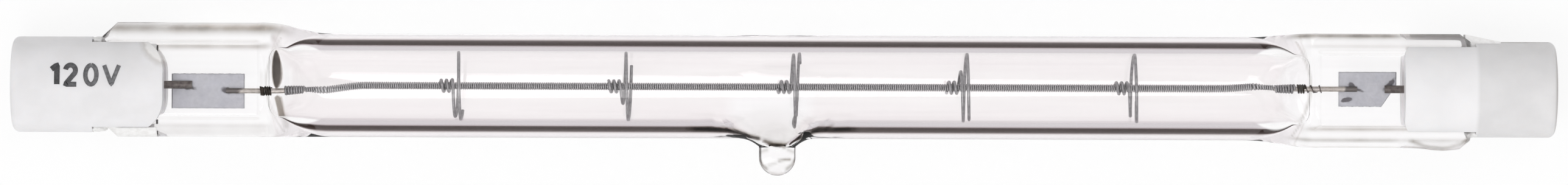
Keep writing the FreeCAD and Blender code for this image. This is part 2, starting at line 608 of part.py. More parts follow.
def make_leads(side):
    """The outer wire, from the foil into the contact, and the inner wire, from foil to filament."""
    name = SIDE_NAMES[side]
    inner_edge = foil_start(side)
    outer_edge = f"{inner_edge} + {of_side(side, 'foil_length')}"
    contact_back = f"{CONTACT_FACE_X} - Sizes.contact_thickness - Sizes.contact_shank_length"
    outer_start = f"{outer_edge} - {of_side(side, 'outer_weld')}"
    outer_lead = make_wire(f"{name}_outer_lead", side, f"{contact_back} + Sizes.outer_lead_depth",
                           outer_start, 0, "Sizes.outer_lead_diameter", (outer_start, outer_edge))
    inner_finish = f"{inner_edge} + Sizes.inner_weld"
    inner_lead = make_wire(f"{name}_inner_lead", side, inner_finish, filament_end(side),
                           of_side(side, "lead_height"), "Sizes.inner_lead_diameter",
                           (inner_edge, inner_finish))
    return outer_lead, inner_lead


def make_spud(side):
    """The tight overwound sleeve that joins the inner wire to the end of the filament."""
    label = f"{SIDE_NAMES[side]}_filament_spud"
    body = new_body(label)
    ring = new_sketch(body, f"{label}_ring", "YZ_Plane", f"{side} * {filament_end(side)}")
    height = of_side(side, "lead_height")
    draw_circle(ring, 0, height, "Sizes.spud_diameter / 2")
    draw_circle(ring, 0, height, "Sizes.inner_lead_diameter / 2")
    add_extrusion(body, "Pad", f"{label}_sleeve", ring, "Sizes.spud_length", backwards=side == LEFT)
    return body


def make_filament():
    """The filament's coil as a fine tube, level along the axis and run down to its lower left end."""
    body = new_body("filament_coil")
    path = new_sketch(body, "filament_path", "XZ_Plane")
    left_end, right_end = filament_end(LEFT), filament_end(RIGHT)
    left_height, right_height = "Sizes.left_lead_height", "Sizes.right_lead_height"
    bend_length = "Sizes.filament_bend_length"
    level, run = value(right_height), value(bend_length)
    drop = level - value(left_height)
    radius = (run * run + drop * drop) / (4 * drop)
    sweep = math.asin(run / (2 * radius))
    start = FreeCAD.Vector(value(right_end), level, 0)
    level_end = FreeCAD.Vector(run - value(left_end), level, 0)
    down = FreeCAD.Vector(level_end.x, level - radius, 0)
    up = FreeCAD.Vector(-value(left_end), value(left_height) + radius, 0)
    line = path.addGeometry(Part.LineSegment(start, level_end), False)
    facing = FreeCAD.Vector(0, 0, 1)
    first = Part.ArcOfCircle(Part.Circle(down, facing, radius), math.pi / 2, math.pi / 2 + sweep)
    second = Part.ArcOfCircle(Part.Circle(up, facing, radius), 1.5 * math.pi, 1.5 * math.pi + sweep)
    crest = path.addGeometry(first, False)
    trough = path.addGeometry(second, False)
    hold_point(path, line, 1, right_end, right_height)
    path.addConstraint(Sketcher.Constraint("Tangent", line, 2, crest, 1))
    path.addConstraint(Sketcher.Constraint("Tangent", crest, 2, trough, 2))
    path.addConstraint(Sketcher.Constraint("Equal", crest, trough))
    path.addConstraint(Sketcher.Constraint("Vertical", trough, 3, trough, 1))
    path.addConstraint(Sketcher.Constraint("Horizontal", line))
    hold_point(path, trough, 1, f"-{left_end}", left_height)
    held = path.addConstraint(Sketcher.Constraint("DistanceX", trough, 1, line, 2, run))
    path.setExpression(f"Constraints[{held}]", bend_length)
    ring = new_sketch(body, "filament_ring", "YZ_Plane", right_end)
    draw_circle(ring, 0, right_height, "Sizes.filament_diameter / 2")
    draw_circle(ring, 0, right_height, "Sizes.filament_bore / 2")
    coil = body.newObject("PartDesign::AdditivePipe", "filament_sweep")
    coil.Profile = ring
    coil.Spine = path
    return body


def support_point(turns, place, phase):
    """A point on a support's wire: tight turns on the filament, a widening arm, then a wide loop."""
    grip_radius = (value("Sizes.filament_diameter + Sizes.support_wire") / 2
                   + value("Sizes.support_grip_gap"))
    loop_radius = value(f"{BORE_RADIUS} - Sizes.support_wall_gap - Sizes.support_wire / 2")
    grip_length, arm_length = value("Sizes.support_grip_length"), value("Sizes.support_arm_length")
    if turns < GRIP_TURNS:
        radius = grip_radius
        along = grip_length * (turns / GRIP_TURNS - 1) - arm_length
    elif turns < GRIP_TURNS + ARM_TURNS:
        share = (turns - GRIP_TURNS) / ARM_TURNS
        radius = grip_radius + (loop_radius - grip_radius) * ease(share)
        along = arm_length * (share - 1)
    else:
        radius = loop_radius
        along = value("Sizes.support_loop_lean") * (turns - GRIP_TURNS - ARM_TURNS) / LOOP_TURNS
    angle = phase + 2 * math.pi * turns
    return FreeCAD.Vector(place + along, radius * math.cos(angle), radius * math.sin(angle))


def make_support(number):
    """One spiral support, swept along a smooth line through points of its formula."""
    label = f"filament_support_{number + 1}"
    first_place = value(f"Sizes.left_support_setback - {filament_end(LEFT)}")
    last_place = value(f"{filament_end(RIGHT)} - Sizes.right_support_setback")
    pitch = (last_place - first_place) / (SUPPORT_COUNT - 1)
    place = first_place + number * pitch
    phase = number * SUPPORT_PHASE_STEP
    total = GRIP_TURNS + ARM_TURNS + LOOP_TURNS
    count = round(total * POINTS_PER_TURN)
    points = [support_point(total * step / count, place, phase) for step in range(count + 1)]
    line = Part.BSplineCurve()
    line.interpolate(points)
    start_direction = line.tangent(line.FirstParameter)[0]
    circle = Part.Circle(points[0], start_direction, value("Sizes.support_wire / 2"))
    path = Part.Wire([line.toShape()])
    wire = path.makePipeShell([Part.Wire([circle.toShape()])], True, True)
    support = doc.addObject("Part::Feature", label)
    support.Label = label
    support.Shape = wire if wire.Volume > 0 else wire.reversed()
    lay_down(support)
    return support


def add_cement_spill(plug):
    """Cement squeezed out over the top of the right cap's barrel, where the pinch ends."""
    outline = new_sketch(plug, "spill_outline", "XZ_Plane")
    start = f"{pinch_end(RIGHT)} - Sizes.right_corner_run / 2"
    finish = f"{SLOT_FLOOR_X} + Sizes.spill_length"
    buried = "Sizes.cap_diameter / 2 - Sizes.cement_setback - Sizes.spill_rise"
    draw_polygon(outline, [
        (start, buried),
        (finish, buried),
        (finish, "Sizes.cap_diameter / 2"),
        (start, "Sizes.cap_diameter / 2 + Sizes.spill_rise"),
    ])
    add_extrusion(plug, "Pad", "spill", outline, "Sizes.spill_width", midplane=True)


def make_cement(side, blank, outer_lead, cap):
    """Cement that fills the cap's slot round the pinch, set a little below the cap's surface."""
    name = SIDE_NAMES[side]
    plug = new_body(f"{name}_slot_filling")
    round_end = new_sketch(plug, f"{name}_filling_circle", "YZ_Plane", f"{side} * {SLOT_FLOOR_X}")
    draw_circle(round_end, 0, 0, "Sizes.cap_diameter / 2 - Sizes.cement_setback")
    length = f"{SLOT_FLOOR_X} - {EAR_END_X} - Sizes.cement_ear_gap"
    add_extrusion(plug, "Pad", f"{name}_filling", round_end, length, backwards=side == RIGHT)
    for face, word in ((1, "back"), (-1, "front")):
        beside = new_sketch(plug, f"{name}_{word}_wall_outline", "YZ_Plane", f"{side} * {SLOT_FLOOR_X}")
        wall = f"{face} * Sizes.slot_width / 2"
        outside = f"{face} * Sizes.cap_diameter"
        low, high = "-Sizes.cap_diameter", "Sizes.cap_diameter"
        draw_polygon(beside, [(wall, low), (outside, low), (outside, high), (wall, high)])
        add_extrusion(plug, "Pocket", f"{name}_{word}_wall", beside, "Sizes.cap_length",
                      backwards=side == LEFT)
    if side == RIGHT:
        add_cement_spill(plug)
    held = doc.addObject("Part::MultiFuse", f"{name}_held_in_cement")
    held.Shapes = [blank, outer_lead, cap]
    cement = doc.addObject("Part::Cut", f"{name}_cap_cement")
    cement.Label = f"{name}_cap_cement"
    cement.Base = plug
    cement.Tool = held
    return cement


def make_envelope(blank, sealed_in):
    """The quartz, closed tightly round the foils and wires that the pinches hold."""
    seals = doc.addObject("Part::MultiFuse", "sealed_in_quartz")
    seals.Shapes = sealed_in
    envelope = doc.addObject("Part::Cut", "quartz_envelope")
    envelope.Label = "quartz_envelope"
    envelope.Base = blank
    envelope.Tool = seals
    return envelope


def check_document(pieces):
    """Stop unless every object was made and every piece is one sound solid."""
    for item in doc.Objects:
        if {"Invalid", "Error"} & set(item.State):
            raise RuntimeError(f"{item.Label} was not made: {item.State}")
    for piece in pieces:
        shape = piece.Shape
        if shape.isNull() or not shape.isValid() or len(shape.Solids) != 1 or shape.Volume <= 0:
            raise RuntimeError(f"{piece.Label} is not one sound solid")


blank = make_envelope_blank()
pieces = []
sealed_in = []
for side in (LEFT, RIGHT):
    foil = make_foil(side)
    outer_lead, inner_lead = make_leads(side)
    sealed_in += [foil, outer_lead, inner_lead]
    cap = make_cap(side)
    pieces += [cap, make_cement(side, blank, outer_lead, cap), make_contact(side), foil,
               outer_lead, inner_lead, make_spud(side)]
pieces.append(make_envelope(blank, sealed_in))
pieces.append(make_filament())
pieces += [make_support(number) for number in range(SUPPORT_COUNT)]
doc.recompute()
check_document(pieces)

os.makedirs("parts", exist_ok=True)
for piece in pieces:
    piece.Shape.exportStep(f"parts/{piece.Label}.step")
    box = piece.Shape.BoundBox
    print(f"{piece.Label}: {piece.Shape.Volume:.3f} mm3, X {box.XMin:.2f} to {box.XMax:.2f}, "
          f"Y {box.YMin:.2f} to {box.YMax:.2f}, Z {box.ZMin:.2f} to {box.ZMax:.2f}")
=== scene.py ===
# %% [markdown]
# # A linear halogen bulb, seen from straight above
# This lamp is a thin tube of quartz glass with a coiled tungsten filament down its middle.
# Each end of the tube is pressed flat over a strip of foil, and sits in a slotted ceramic cap.
# The measured model already has every piece in its place, in metres, so this lesson loads it
# first and then gives each piece its finish, or winds and blows a finer one in the same place.

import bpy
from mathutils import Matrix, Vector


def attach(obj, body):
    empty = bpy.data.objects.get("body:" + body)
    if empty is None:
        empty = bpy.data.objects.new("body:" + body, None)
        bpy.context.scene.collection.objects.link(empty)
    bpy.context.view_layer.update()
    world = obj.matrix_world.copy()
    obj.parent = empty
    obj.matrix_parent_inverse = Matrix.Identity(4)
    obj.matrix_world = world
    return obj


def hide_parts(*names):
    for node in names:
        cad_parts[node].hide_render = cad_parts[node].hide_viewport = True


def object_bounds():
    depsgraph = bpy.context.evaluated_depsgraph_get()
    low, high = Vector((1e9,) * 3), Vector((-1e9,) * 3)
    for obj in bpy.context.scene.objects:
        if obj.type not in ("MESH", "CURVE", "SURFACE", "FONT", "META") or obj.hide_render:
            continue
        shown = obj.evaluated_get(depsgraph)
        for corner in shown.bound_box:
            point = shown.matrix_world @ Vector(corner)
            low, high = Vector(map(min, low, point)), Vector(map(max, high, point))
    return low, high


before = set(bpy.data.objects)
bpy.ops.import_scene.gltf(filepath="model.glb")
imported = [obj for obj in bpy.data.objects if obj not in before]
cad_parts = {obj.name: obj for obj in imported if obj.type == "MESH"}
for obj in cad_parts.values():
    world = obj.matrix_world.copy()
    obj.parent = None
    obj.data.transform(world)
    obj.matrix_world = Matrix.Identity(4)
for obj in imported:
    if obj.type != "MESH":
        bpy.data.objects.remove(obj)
cad_low, cad_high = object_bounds()
print("measured pieces:", len(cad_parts))
print("its box in mm:", [round(1000 * v, 2) for v in (*cad_low, *cad_high)])

# %% Tools and units
import math

import bmesh
import bpy
import numpy as np

MM = 0.001
scene = bpy.context.scene
scene.view_settings.view_transform = "Standard"
print("one millimetre is", MM, "of a Blender unit")

# %% [markdown]
# ## The camera
# The lamp is long and thin, so a long lens from straight overhead shows it without much
# perspective. The camera's height follows from how wide the picture is at the lamp's axis.
# It hangs a little off the axis and is turned a fifth of a degree, as the picture is.

# %% Hang the camera
PICTURE_WIDE, PIXELS_ASIDE, DEGREES_TURNED = 2576, 9, 0.22
PIXEL = 0.04645 * MM
LENS, SENSOR = 200.0, 36.0
seen_width = PICTURE_WIDE * PIXEL
camera_height = seen_width * LENS / SENSOR

camera_data = bpy.data.cameras.new("overhead_camera")
camera_data.lens = LENS
camera_data.sensor_width = SENSOR
camera = bpy.data.objects.new("overhead_camera", camera_data)
camera.location = (0.0, -PIXELS_ASIDE * PIXEL, camera_height)
camera.rotation_euler = (0.0, 0.0, math.radians(DEGREES_TURNED))
scene.collection.objects.link(camera)
scene.camera = camera
print("camera height in mm:", round(camera_height / MM, 1))

# %% [markdown]
# ## Node helpers
# Every finish below is a small tree of nodes. They could be joined by hand in the editor, but a
# few helpers keep each tree short to read: one adds a node, one starts a finish, one makes a
# grain that is fixed to the piece, so that it stays on the surface from any side, and three turn
# the grain into a colour, a number or fine bumps.

# %% Helpers for finishes
def add_node(tree, kind, **values):
    """A new node, with the named sockets set. An underscore stands for a space."""
    node = tree.nodes.new(kind)
    for socket, value in values.items():
        node.inputs[socket.replace("_", " ")].default_value = value
    return node


def new_finish(name):
    """A material, its node tree and its surface shader."""
    finish = bpy.data.materials.new(name)
    finish.use_nodes = True
    tree = finish.node_tree
    return finish, tree, tree.nodes["Principled BSDF"]


def grain(tree, size, detail=4.0, stretch=(1.0, 1.0, 1.0)):
    """A noise fixed to the piece, about size millimetres from blotch to blotch."""
    place = add_node(tree, "ShaderNodeTexCoord")
    scaled = add_node(tree, "ShaderNodeMapping")
    scaled.inputs["Scale"].default_value = stretch
    noise = add_node(tree, "ShaderNodeTexNoise", Scale=1.0 / (size * MM), Detail=detail)
    tree.links.new(place.outputs["Object"], scaled.inputs["Vector"])
    tree.links.new(scaled.outputs["Vector"], noise.inputs["Vector"])
    return noise.outputs["Fac"]


def between(tree, share, low, high, start=0.35, end=0.65):
    """A colour that goes from low to high as share goes from start to end."""
    ramp = add_node(tree, "ShaderNodeValToRGB")
    ramp.color_ramp.elements[0].position = start
    ramp.color_ramp.elements[0].color = (*low, 1.0)
    ramp.color_ramp.elements[1].position = end
    ramp.color_ramp.elements[1].color = (*high, 1.0)
    tree.links.new(share, ramp.inputs["Fac"])
    return ramp.outputs["Color"]


def spread(tree, share, low, high, start=0.3, end=0.7):
    """A number that goes from low to high as share goes from start to end."""
    ranged = add_node(
        tree, "ShaderNodeMapRange", From_Min=start, From_Max=end, To_Min=low, To_Max=high)
    tree.links.new(share, ranged.inputs["Value"])
    return ranged.outputs["Result"]


def roughen(tree, shader, share, depth, strength):
    """Fine hills and pits on the surface, depth millimetres high."""
    bump = add_node(tree, "ShaderNodeBump", Strength=strength, Distance=depth * MM)
    tree.links.new(share, bump.inputs["Height"])
    tree.links.new(bump.outputs["Normal"], shader.inputs["Normal"])


print("six helpers ready")

# %% [markdown]
# ## The studio
# The lamp lies in a white tent. Soft light comes from all round, with a slightly stronger
# softbox over each long side, at a level where a colour renders as it is written. A ring of
# many lamps could do the same, but the background alone makes a smoother tent. What the camera
# and the glass see of the tent is plain white. The softboxes only light: neither the camera nor
# anything that mirrors sees them.

# %% White tent and softboxes
world = bpy.data.worlds.new("white_tent")
world.use_nodes = True
scene.world = world
sky = world.node_tree
background = sky.nodes["Background"]
background.inputs["Color"].default_value = (1.0, 1.0, 1.0, 1.0)


def seen_directly(tree):
    """1 for what the camera, a mirror or the glass sees, 0 for light on its way."""
    path = add_node(tree, "ShaderNodeLightPath")
    total = path.outputs["Is Camera Ray"]
    for name in ("Is Glossy Ray", "Is Transmission Ray"):
        either = add_node(tree, "ShaderNodeMath")
        either.operation = "MAXIMUM"
        tree.links.new(total, either.inputs[0])
        tree.links.new(path.outputs[name], either.inputs[1])
        total = either.outputs["Value"]
    return total, path


TENT_LIGHT, LEAN = 0.72, 0.22
heading = add_node(sky, "ShaderNodeTexCoord")
heading_parts = add_node(sky, "ShaderNodeSeparateXYZ")
sky.links.new(heading.outputs["Generated"], heading_parts.inputs["Vector"])
leaning_light = spread(sky, heading_parts.outputs["Y"],
                       TENT_LIGHT * (1 + LEAN), TENT_LIGHT * (1 - LEAN), -1.0, 1.0)
white_or_light = spread(sky, seen_directly(sky)[0], TENT_LIGHT, 1.0, 0.0, 1.0)
sky.links.new(leaning_light, white_or_light.node.inputs["To Min"])
sky.links.new(white_or_light, background.inputs["Strength"])


def add_softbox(name, place, power, size):
    """A square lamp that faces the middle of the bulb."""
    data = bpy.data.lights.new(name, "AREA")
    data.energy = power
    data.size = size
    box = bpy.data.objects.new(name, data)
    box.location = place
    box.rotation_euler = (-box.location).to_track_quat("-Z", "Y").to_euler()
    box.visible_camera = False
    box.visible_glossy = False
    scene.collection.objects.link(box)


add_softbox("softbox_front", (-0.20, -0.36, 0.90), 2.4, 0.5)
add_softbox("softbox_back", (0.30, 0.30, 0.90), 0.5, 0.4)
print("tent light:", TENT_LIGHT, "and two softboxes")

# %% [markdown]
# ## The bench
# The floor is a pale sheet under the lamp. Clear glass on white shows only where its wall
# bends the view far to the side, past the white, which draws a dark line along each side of
# the tube. Here the glass looks down on the bench alone, so the bench holds that darker
# surround itself: a ray that came through the wall, without the hollow, sees it as a dark band
# beside the lamp. Black cards beside the lamp could do it too, but they would take light from
# the caps. The camera never sees the band directly, the lamp's shadow stays, and the band is
# left out under the tip, whose glass is clear in the picture.

# %% Lay the bench
def ramp_of(tree, share, stops):
    """A colour ramp with the given (place, colour) stops, eased between them."""
    ramp = add_node(tree, "ShaderNodeValToRGB")
    ramp.color_ramp.interpolation = "B_SPLINE"
    elements = ramp.color_ramp.elements
    while len(elements) < len(stops):
        elements.new(0.5)
    for element, (place, colour) in zip(elements, sorted(stops)):
        element.position = place
        element.color = (*colour, 1.0)
    tree.links.new(share, ramp.inputs["Fac"])
    return ramp.outputs["Color"]


def arithmetic(tree, operation, first, second=None):
    """One sum on sockets or plain numbers."""
    node = add_node(tree, "ShaderNodeMath")
    node.operation = operation
    for socket, value in zip(node.inputs, (first, second)):
        if isinstance(value, (int, float)):
            socket.default_value = value
        elif value is not None:
            tree.links.new(value, socket)
    return node.outputs["Value"]


def blend_colours(tree, share, first, second):
    """first where share is 0, second where it is 1."""
    mix = tree.nodes.new("ShaderNodeMix")
    mix.data_type = "RGBA"
    for socket, value in ((mix.inputs[0], share), (mix.inputs[6], first), (mix.inputs[7], second)):
        if isinstance(value, (int, float, tuple)):
            socket.default_value = value
        else:
            tree.links.new(value, socket)
    return mix.outputs[2]


PER_CENTIMETRE = 100.0
MOST_WALL_CROSSINGS = 2.5
TUBE_STOPS, FAR_STOPS = (37.9 * MM, 38.8 * MM), (2.0 * MM, 5.0 * MM)
LEFT_OF_TIP, RIGHT_OF_TIP = (-4.8 * MM, -3.6 * MM), (1.6 * MM, 2.6 * MM)

bench_finish, tree, shader = new_finish("pale_bench")
seen, path = seen_directly(tree)
place = add_node(tree, "ShaderNodeNewGeometry")
split = add_node(tree, "ShaderNodeSeparateXYZ")
tree.links.new(place.outputs["Position"], split.inputs["Vector"])
aside = arithmetic(tree, "ABSOLUTE", split.outputs["Y"])
aside = arithmetic(tree, "MULTIPLY", aside, PER_CENTIMETRE)
along = arithmetic(tree, "ABSOLUTE", split.outputs["X"])

wall_view = ramp_of(tree, aside, [
    (0.00, (0.80, 0.77, 0.78)), (0.12, (0.86, 0.84, 0.85)), (0.22, (0.98, 0.96, 0.97)),
    (0.32, (0.98, 0.96, 0.96)), (0.38, (0.50, 0.44, 0.44)), (0.42, (0.036, 0.022, 0.018)),
    (0.60, (0.026, 0.014, 0.011)), (0.70, (0.036, 0.022, 0.018)), (0.76, (0.40, 0.34, 0.35)),
    (0.82, (0.66, 0.62, 0.64)), (1.00, (0.72, 0.69, 0.71))])
hollow_view = ramp_of(tree, aside, [
    (0.00, (0.975, 0.960, 0.950)), (0.14, (0.965, 0.945, 0.940)), (0.24, (0.95, 0.92, 0.92)),
    (0.48, (0.94, 0.91, 0.91)), (0.58, (0.70, 0.65, 0.67)), (1.00, (0.52, 0.47, 0.50))])
far_side = spread(tree, split.outputs["Y"], 0.0, 0.75, *FAR_STOPS)
hollow_view = blend_colours(tree, far_side, hollow_view, (0.97, 0.95, 0.95, 1.0))
through_hollow = arithmetic(
    tree, "GREATER_THAN", path.outputs["Transmission Depth"], MOST_WALL_CROSSINGS)
through_glass = blend_colours(tree, through_hollow, wall_view, hollow_view)
beside_tube = spread(tree, along, 1.0, 0.0, *TUBE_STOPS)
left_of_tip = spread(tree, split.outputs["X"], 1.0, 0.0, *LEFT_OF_TIP)
right_of_tip = spread(tree, split.outputs["X"], 0.0, 1.0, *RIGHT_OF_TIP)
off_tip = arithmetic(tree, "MAXIMUM", left_of_tip, right_of_tip)
far_half = spread(tree, split.outputs["Y"], 0.0, 1.0, -1.0 * MM, 0.0)
past_tip = arithmetic(tree, "MAXIMUM", off_tip, far_half)
in_glass = arithmetic(tree, "MULTIPLY", path.outputs["Is Transmission Ray"], beside_tube)
in_glass = arithmetic(tree, "MULTIPLY", in_glass, past_tip)
tone = blend_colours(tree, in_glass, (1.0, 1.0, 1.0, 1.0), through_glass)

SHOWN_SHADE, SHOWN_GLOW = 0.16, 0.84
sheet = between(tree, grain(tree, 9.0), (0.775, 0.775, 0.77), (0.81, 0.81, 0.805))
dimmed = tree.nodes.new("ShaderNodeMix")
dimmed.data_type = "RGBA"
dimmed.blend_type = "MULTIPLY"
dimmed.inputs[0].default_value = 1.0
tree.links.new(tone, dimmed.inputs[6])
dimmed.inputs[7].default_value = (SHOWN_SHADE, SHOWN_SHADE, SHOWN_SHADE, 1.0)
tree.links.new(blend_colours(tree, seen, sheet, dimmed.outputs[2]), shader.inputs["Base Color"])
tree.links.new(tone, shader.inputs["Emission Color"])
tree.links.new(arithmetic(tree, "MULTIPLY", seen, SHOWN_GLOW), shader.inputs["Emission Strength"])
shader.inputs["Roughness"].default_value = 0.9
shader.inputs["Specular IOR Level"].default_value = 0.0

bench_mesh = bpy.data.meshes.new("bench")
BENCH_RADIUS, BENCH_CORNERS = 2.0, 72
bench_level = cad_low.z - 0.01 * MM
rim = [(BENCH_RADIUS * math.cos(2 * math.pi * k / BENCH_CORNERS),
        BENCH_RADIUS * math.sin(2 * math.pi * k / BENCH_CORNERS), bench_level)
       for k in range(BENCH_CORNERS)]
bench_mesh.from_pydata(rim, [], [range(BENCH_CORNERS)])
bench = bpy.data.objects.new("bench", bench_mesh)
bench_mesh.materials.append(bench_finish)
scene.collection.objects.link(bench)
print("bench level in mm:", round(bench_level / MM, 2))

# %% [markdown]
# ## Fused quartz
# The tube is clear fused quartz, which bends light a little less than window glass. Drawing
# the tube leaves faint lines along it. Rays from lamps pass straight through, so that the
# filament and the bench are lit without noise. The dark lines of the wall stay dark only where
# little of the white tent is mirrored in front of them, so on the outside the glass is mixed
# with a shader that bends light and mirrors nothing. That holds for light on its way in alone:
# on its way out, light that meets the skin at a low angle is turned back inside, and a shader
# that only bends would show it as black. The hollow keeps all of its own gloss.

# %% Quartz finish
QUARTZ_IOR = 1.458


def quartz_finish(name, calm):
    """Clear quartz. calm is how much of its mirroring is taken away for light on its way in."""
    finish, tree, shader = new_finish(name)
    shader.inputs["IOR"].default_value = QUARTZ_IOR
    shader.inputs["Transmission Weight"].default_value = 1.0
    drawn_lines = grain(tree, 1.2, 2.0, (0.08, 1.0, 1.0))
    clear_colour = between(tree, drawn_lines, (0.975, 0.965, 0.970), (1.0, 0.995, 0.998))
    # The number kept on the mesh darkens the glass to brown, then near black: pressing marks, and
    # dark lines that bent light would show, painted in as shade.
    shade_and_marks = add_node(tree, "ShaderNodeAttribute")
    shade_and_marks.attribute_name = "shade_and_marks"
    patchy = spread(tree, grain(tree, 0.5, 4.0), 0.90, 1.0)
    shade_and_marks_depth = arithmetic(tree, "MULTIPLY", shade_and_marks.outputs["Fac"], patchy)
    faint = spread(tree, shade_and_marks_depth, 0.0, 1.0, 0.0, 0.6)
    strong = spread(tree, shade_and_marks_depth, 0.0, 1.0, 0.6, 1.0)
    shaded_and_marked = blend_colours(tree, faint, clear_colour, (0.42, 0.38, 0.34, 1.0))
    shaded_and_marked = blend_colours(tree, strong, shaded_and_marked, (0.020, 0.012, 0.008, 1.0))
    tree.links.new(shaded_and_marked, shader.inputs["Base Color"])
    tree.links.new(spread(tree, drawn_lines, 0.0, 0.012), shader.inputs["Roughness"])
    roughen(tree, shader, drawn_lines, 0.004, 0.15)
    bent_only = add_node(tree, "ShaderNodeBsdfRefraction", Roughness=0.0, IOR=QUARTZ_IOR)
    tree.links.new(shaded_and_marked, bent_only.inputs["Color"])
    surface = add_node(tree, "ShaderNodeNewGeometry")
    calmed = add_node(tree, "ShaderNodeMixShader")
    tree.links.new(spread(tree, surface.outputs["Backfacing"], calm, 0.0), calmed.inputs["Fac"])
    tree.links.new(shader.outputs["BSDF"], calmed.inputs[1])
    tree.links.new(bent_only.outputs["BSDF"], calmed.inputs[2])
    path = add_node(tree, "ShaderNodeLightPath")
    clear = add_node(tree, "ShaderNodeBsdfTransparent", Color=(0.96, 0.955, 0.958, 1.0))
    lamps_through = add_node(tree, "ShaderNodeMixShader")
    tree.links.new(path.outputs["Is Shadow Ray"], lamps_through.inputs["Fac"])
    tree.links.new(calmed.outputs["Shader"], lamps_through.inputs[1])
    tree.links.new(clear.outputs["BSDF"], lamps_through.inputs[2])
    tree.links.new(lamps_through.outputs["Shader"], tree.nodes["Material Output"].inputs["Surface"])
    return finish


quartz = quartz_finish("fused_quartz_outside", 0.75)
hollow_quartz = quartz_finish("fused_quartz_hollow", 0.0)
print("quartz bends light by", QUARTZ_IOR)

# %% [markdown]
# ## The tube, the pinches and the tip
# The envelope is one piece of quartz. Each cross-section is a rounded oblong: a circle along
# the tube, which eases into a thin flat block at each pinch. A cylinder and two boxes could be
# joined with a boolean, but that leaves creases where real glass flows. Here every section has
# the same number of points, spread evenly over its outline, so sections join into one smooth
# skin. The hollow is a second skin inside, and the exhaust tip grows out of a hole cut in both.

# %% Sections of the envelope
QUARTER = 48
RING = 4 * QUARTER
TUBE_RADIUS, BORE_RADIUS = 3.94, 2.69


def smooth_step(value):
    """0 below 0, 1 above 1, and eased between."""
    share = np.clip(value, 0.0, 1.0)
    return share * share * (3 - 2 * share)


def rounded_oblong(half_wide, half_thick, corner):
    """RING points round an oblong, spread by length, from its +Y side over the top."""
    side, bend, face = half_thick - corner, math.pi / 2 * corner, half_wide - corner
    run = np.linspace(0.0, 1.0, QUARTER + 1) * (side + bend + face)
    turn = np.clip((run - side) / max(corner, 1e-9), 0.0, math.pi / 2)
    y = np.where(run < side, half_wide, half_wide - corner + corner * np.cos(turn))
    z = np.where(run < side, run, side + corner * np.sin(turn))
    y = np.where(run > side + bend, face - (run - side - bend), y)
    first = np.column_stack([y, z])[:-1]
    second = np.column_stack([-y, z])[::-1][:-1]
    half = np.vstack([first, second])
    return np.vstack([half, -half])


print("points in a section:", len(rounded_oblong(4.35, 1.5, 0.9)))

# %% The outer skin's rings
SIDES = {
    "left": dict(sign=-1, shoulder=34.6, pinch=39.6, end=52.0, shift=0.40,
                 slant=(1.2, 1.1), bulge=0.0),
    "right": dict(sign=1, shoulder=35.4, pinch=40.4, end=52.3, shift=-0.12,
                  slant=(0.8, 0.6), bulge=0.2),
}
PINCH_HALF_WIDE, PINCH_HALF_THICK, PINCH_ROUND = 4.35, 1.5, 0.9
WEB_WIDTH, WEB_DEPTH, WEB_EDGE, WEB_RISE = 6.2, 0.25, 0.4, 0.6
BULGE_REACH, BULGE_LONG, BULGE_FROM = 50.2, 1.3, 3.0


def eased_between(value, start, end):
    """0 before start, 1 past end, and a cosine between."""
    share = min(1.0, max(0.0, (value - start) / (end - start)))
    return (1 - math.cos(math.pi * share)) / 2


def pinch_section(side, reach):
    """The outer section at a distance from the middle, on one side."""
    pressed = eased_between(reach, side["shoulder"], side["pinch"])
    half_wide = TUBE_RADIUS + (PINCH_HALF_WIDE - TUBE_RADIUS) * pressed
    half_thick = TUBE_RADIUS + (PINCH_HALF_THICK - TUBE_RADIUS) * pressed
    corner = TUBE_RADIUS + (PINCH_ROUND - TUBE_RADIUS) * pressed
    slant_long, slant_wide = side["slant"]
    into_slant = max(0.0, reach - (side["end"] - slant_long)) / slant_long
    outline = rounded_oblong(
        half_wide - slant_wide * into_slant, half_thick, min(corner, half_thick))
    web = WEB_DEPTH * smooth_step((WEB_WIDTH / 2 - np.abs(outline[:, 0])) / WEB_EDGE)
    web = web * smooth_step((reach - side["pinch"]) / WEB_RISE)
    on_face = np.abs(outline[:, 1]) > 0.8 * half_thick
    outline[:, 1] -= np.sign(outline[:, 1]) * np.where(on_face, web, 0.0)
    bulge = side["bulge"] * math.exp(-((reach - BULGE_REACH) / BULGE_LONG) ** 2)
    outline[:, 0] -= bulge * smooth_step(-outline[:, 0] - BULGE_FROM)
    outline[:, 0] += side["shift"] * pressed
    return np.column_stack([np.full(RING, side["sign"] * reach), outline])


def outer_reaches(side):
    """Where the rings stand, from the shoulder's start to the end of the pinch."""
    web_sunk, slant_start = side["pinch"] + 0.8, side["end"] - side["slant"][0]
    return np.concatenate([
        np.linspace(side["shoulder"], side["pinch"], 36),
        np.linspace(side["pinch"], web_sunk, 7)[1:],
        np.linspace(web_sunk, slant_start, 24)[1:],
        np.linspace(slant_start, side["end"], 6)[1:]])


TIP_PLACE, HOLE_STEPS = -0.5, 36


def round_rings(radius, to_left, to_right, plain):
    """Circles along the tube, closer over the tip's hole, and how many come before it."""
    hole_start, hole_end = TIP_PLACE - to_left, TIP_PLACE + to_right
    before = np.linspace(-SIDES["left"]["shoulder"], hole_start, plain)[1:-1]
    across = np.linspace(hole_start, hole_end, HOLE_STEPS + 1)
    after = np.linspace(hole_end, SIDES["right"]["shoulder"], plain)[1:-1]
    circle = rounded_oblong(radius, radius, radius)
    places = np.concatenate([before, across, after])
    return [np.column_stack([np.full(RING, x), circle]) for x in places], len(before)


left_rings = [pinch_section(SIDES["left"], r) for r in outer_reaches(SIDES["left"])][::-1]
right_rings = [pinch_section(SIDES["right"], r) for r in outer_reaches(SIDES["right"])]
tube_rings, before_hole = round_rings(TUBE_RADIUS, 4.4, 4.4, 34)
outer_rings = left_rings + tube_rings + right_rings
outer_first = len(left_rings) + before_hole
print("rings in the outer skin:", len(outer_rings))

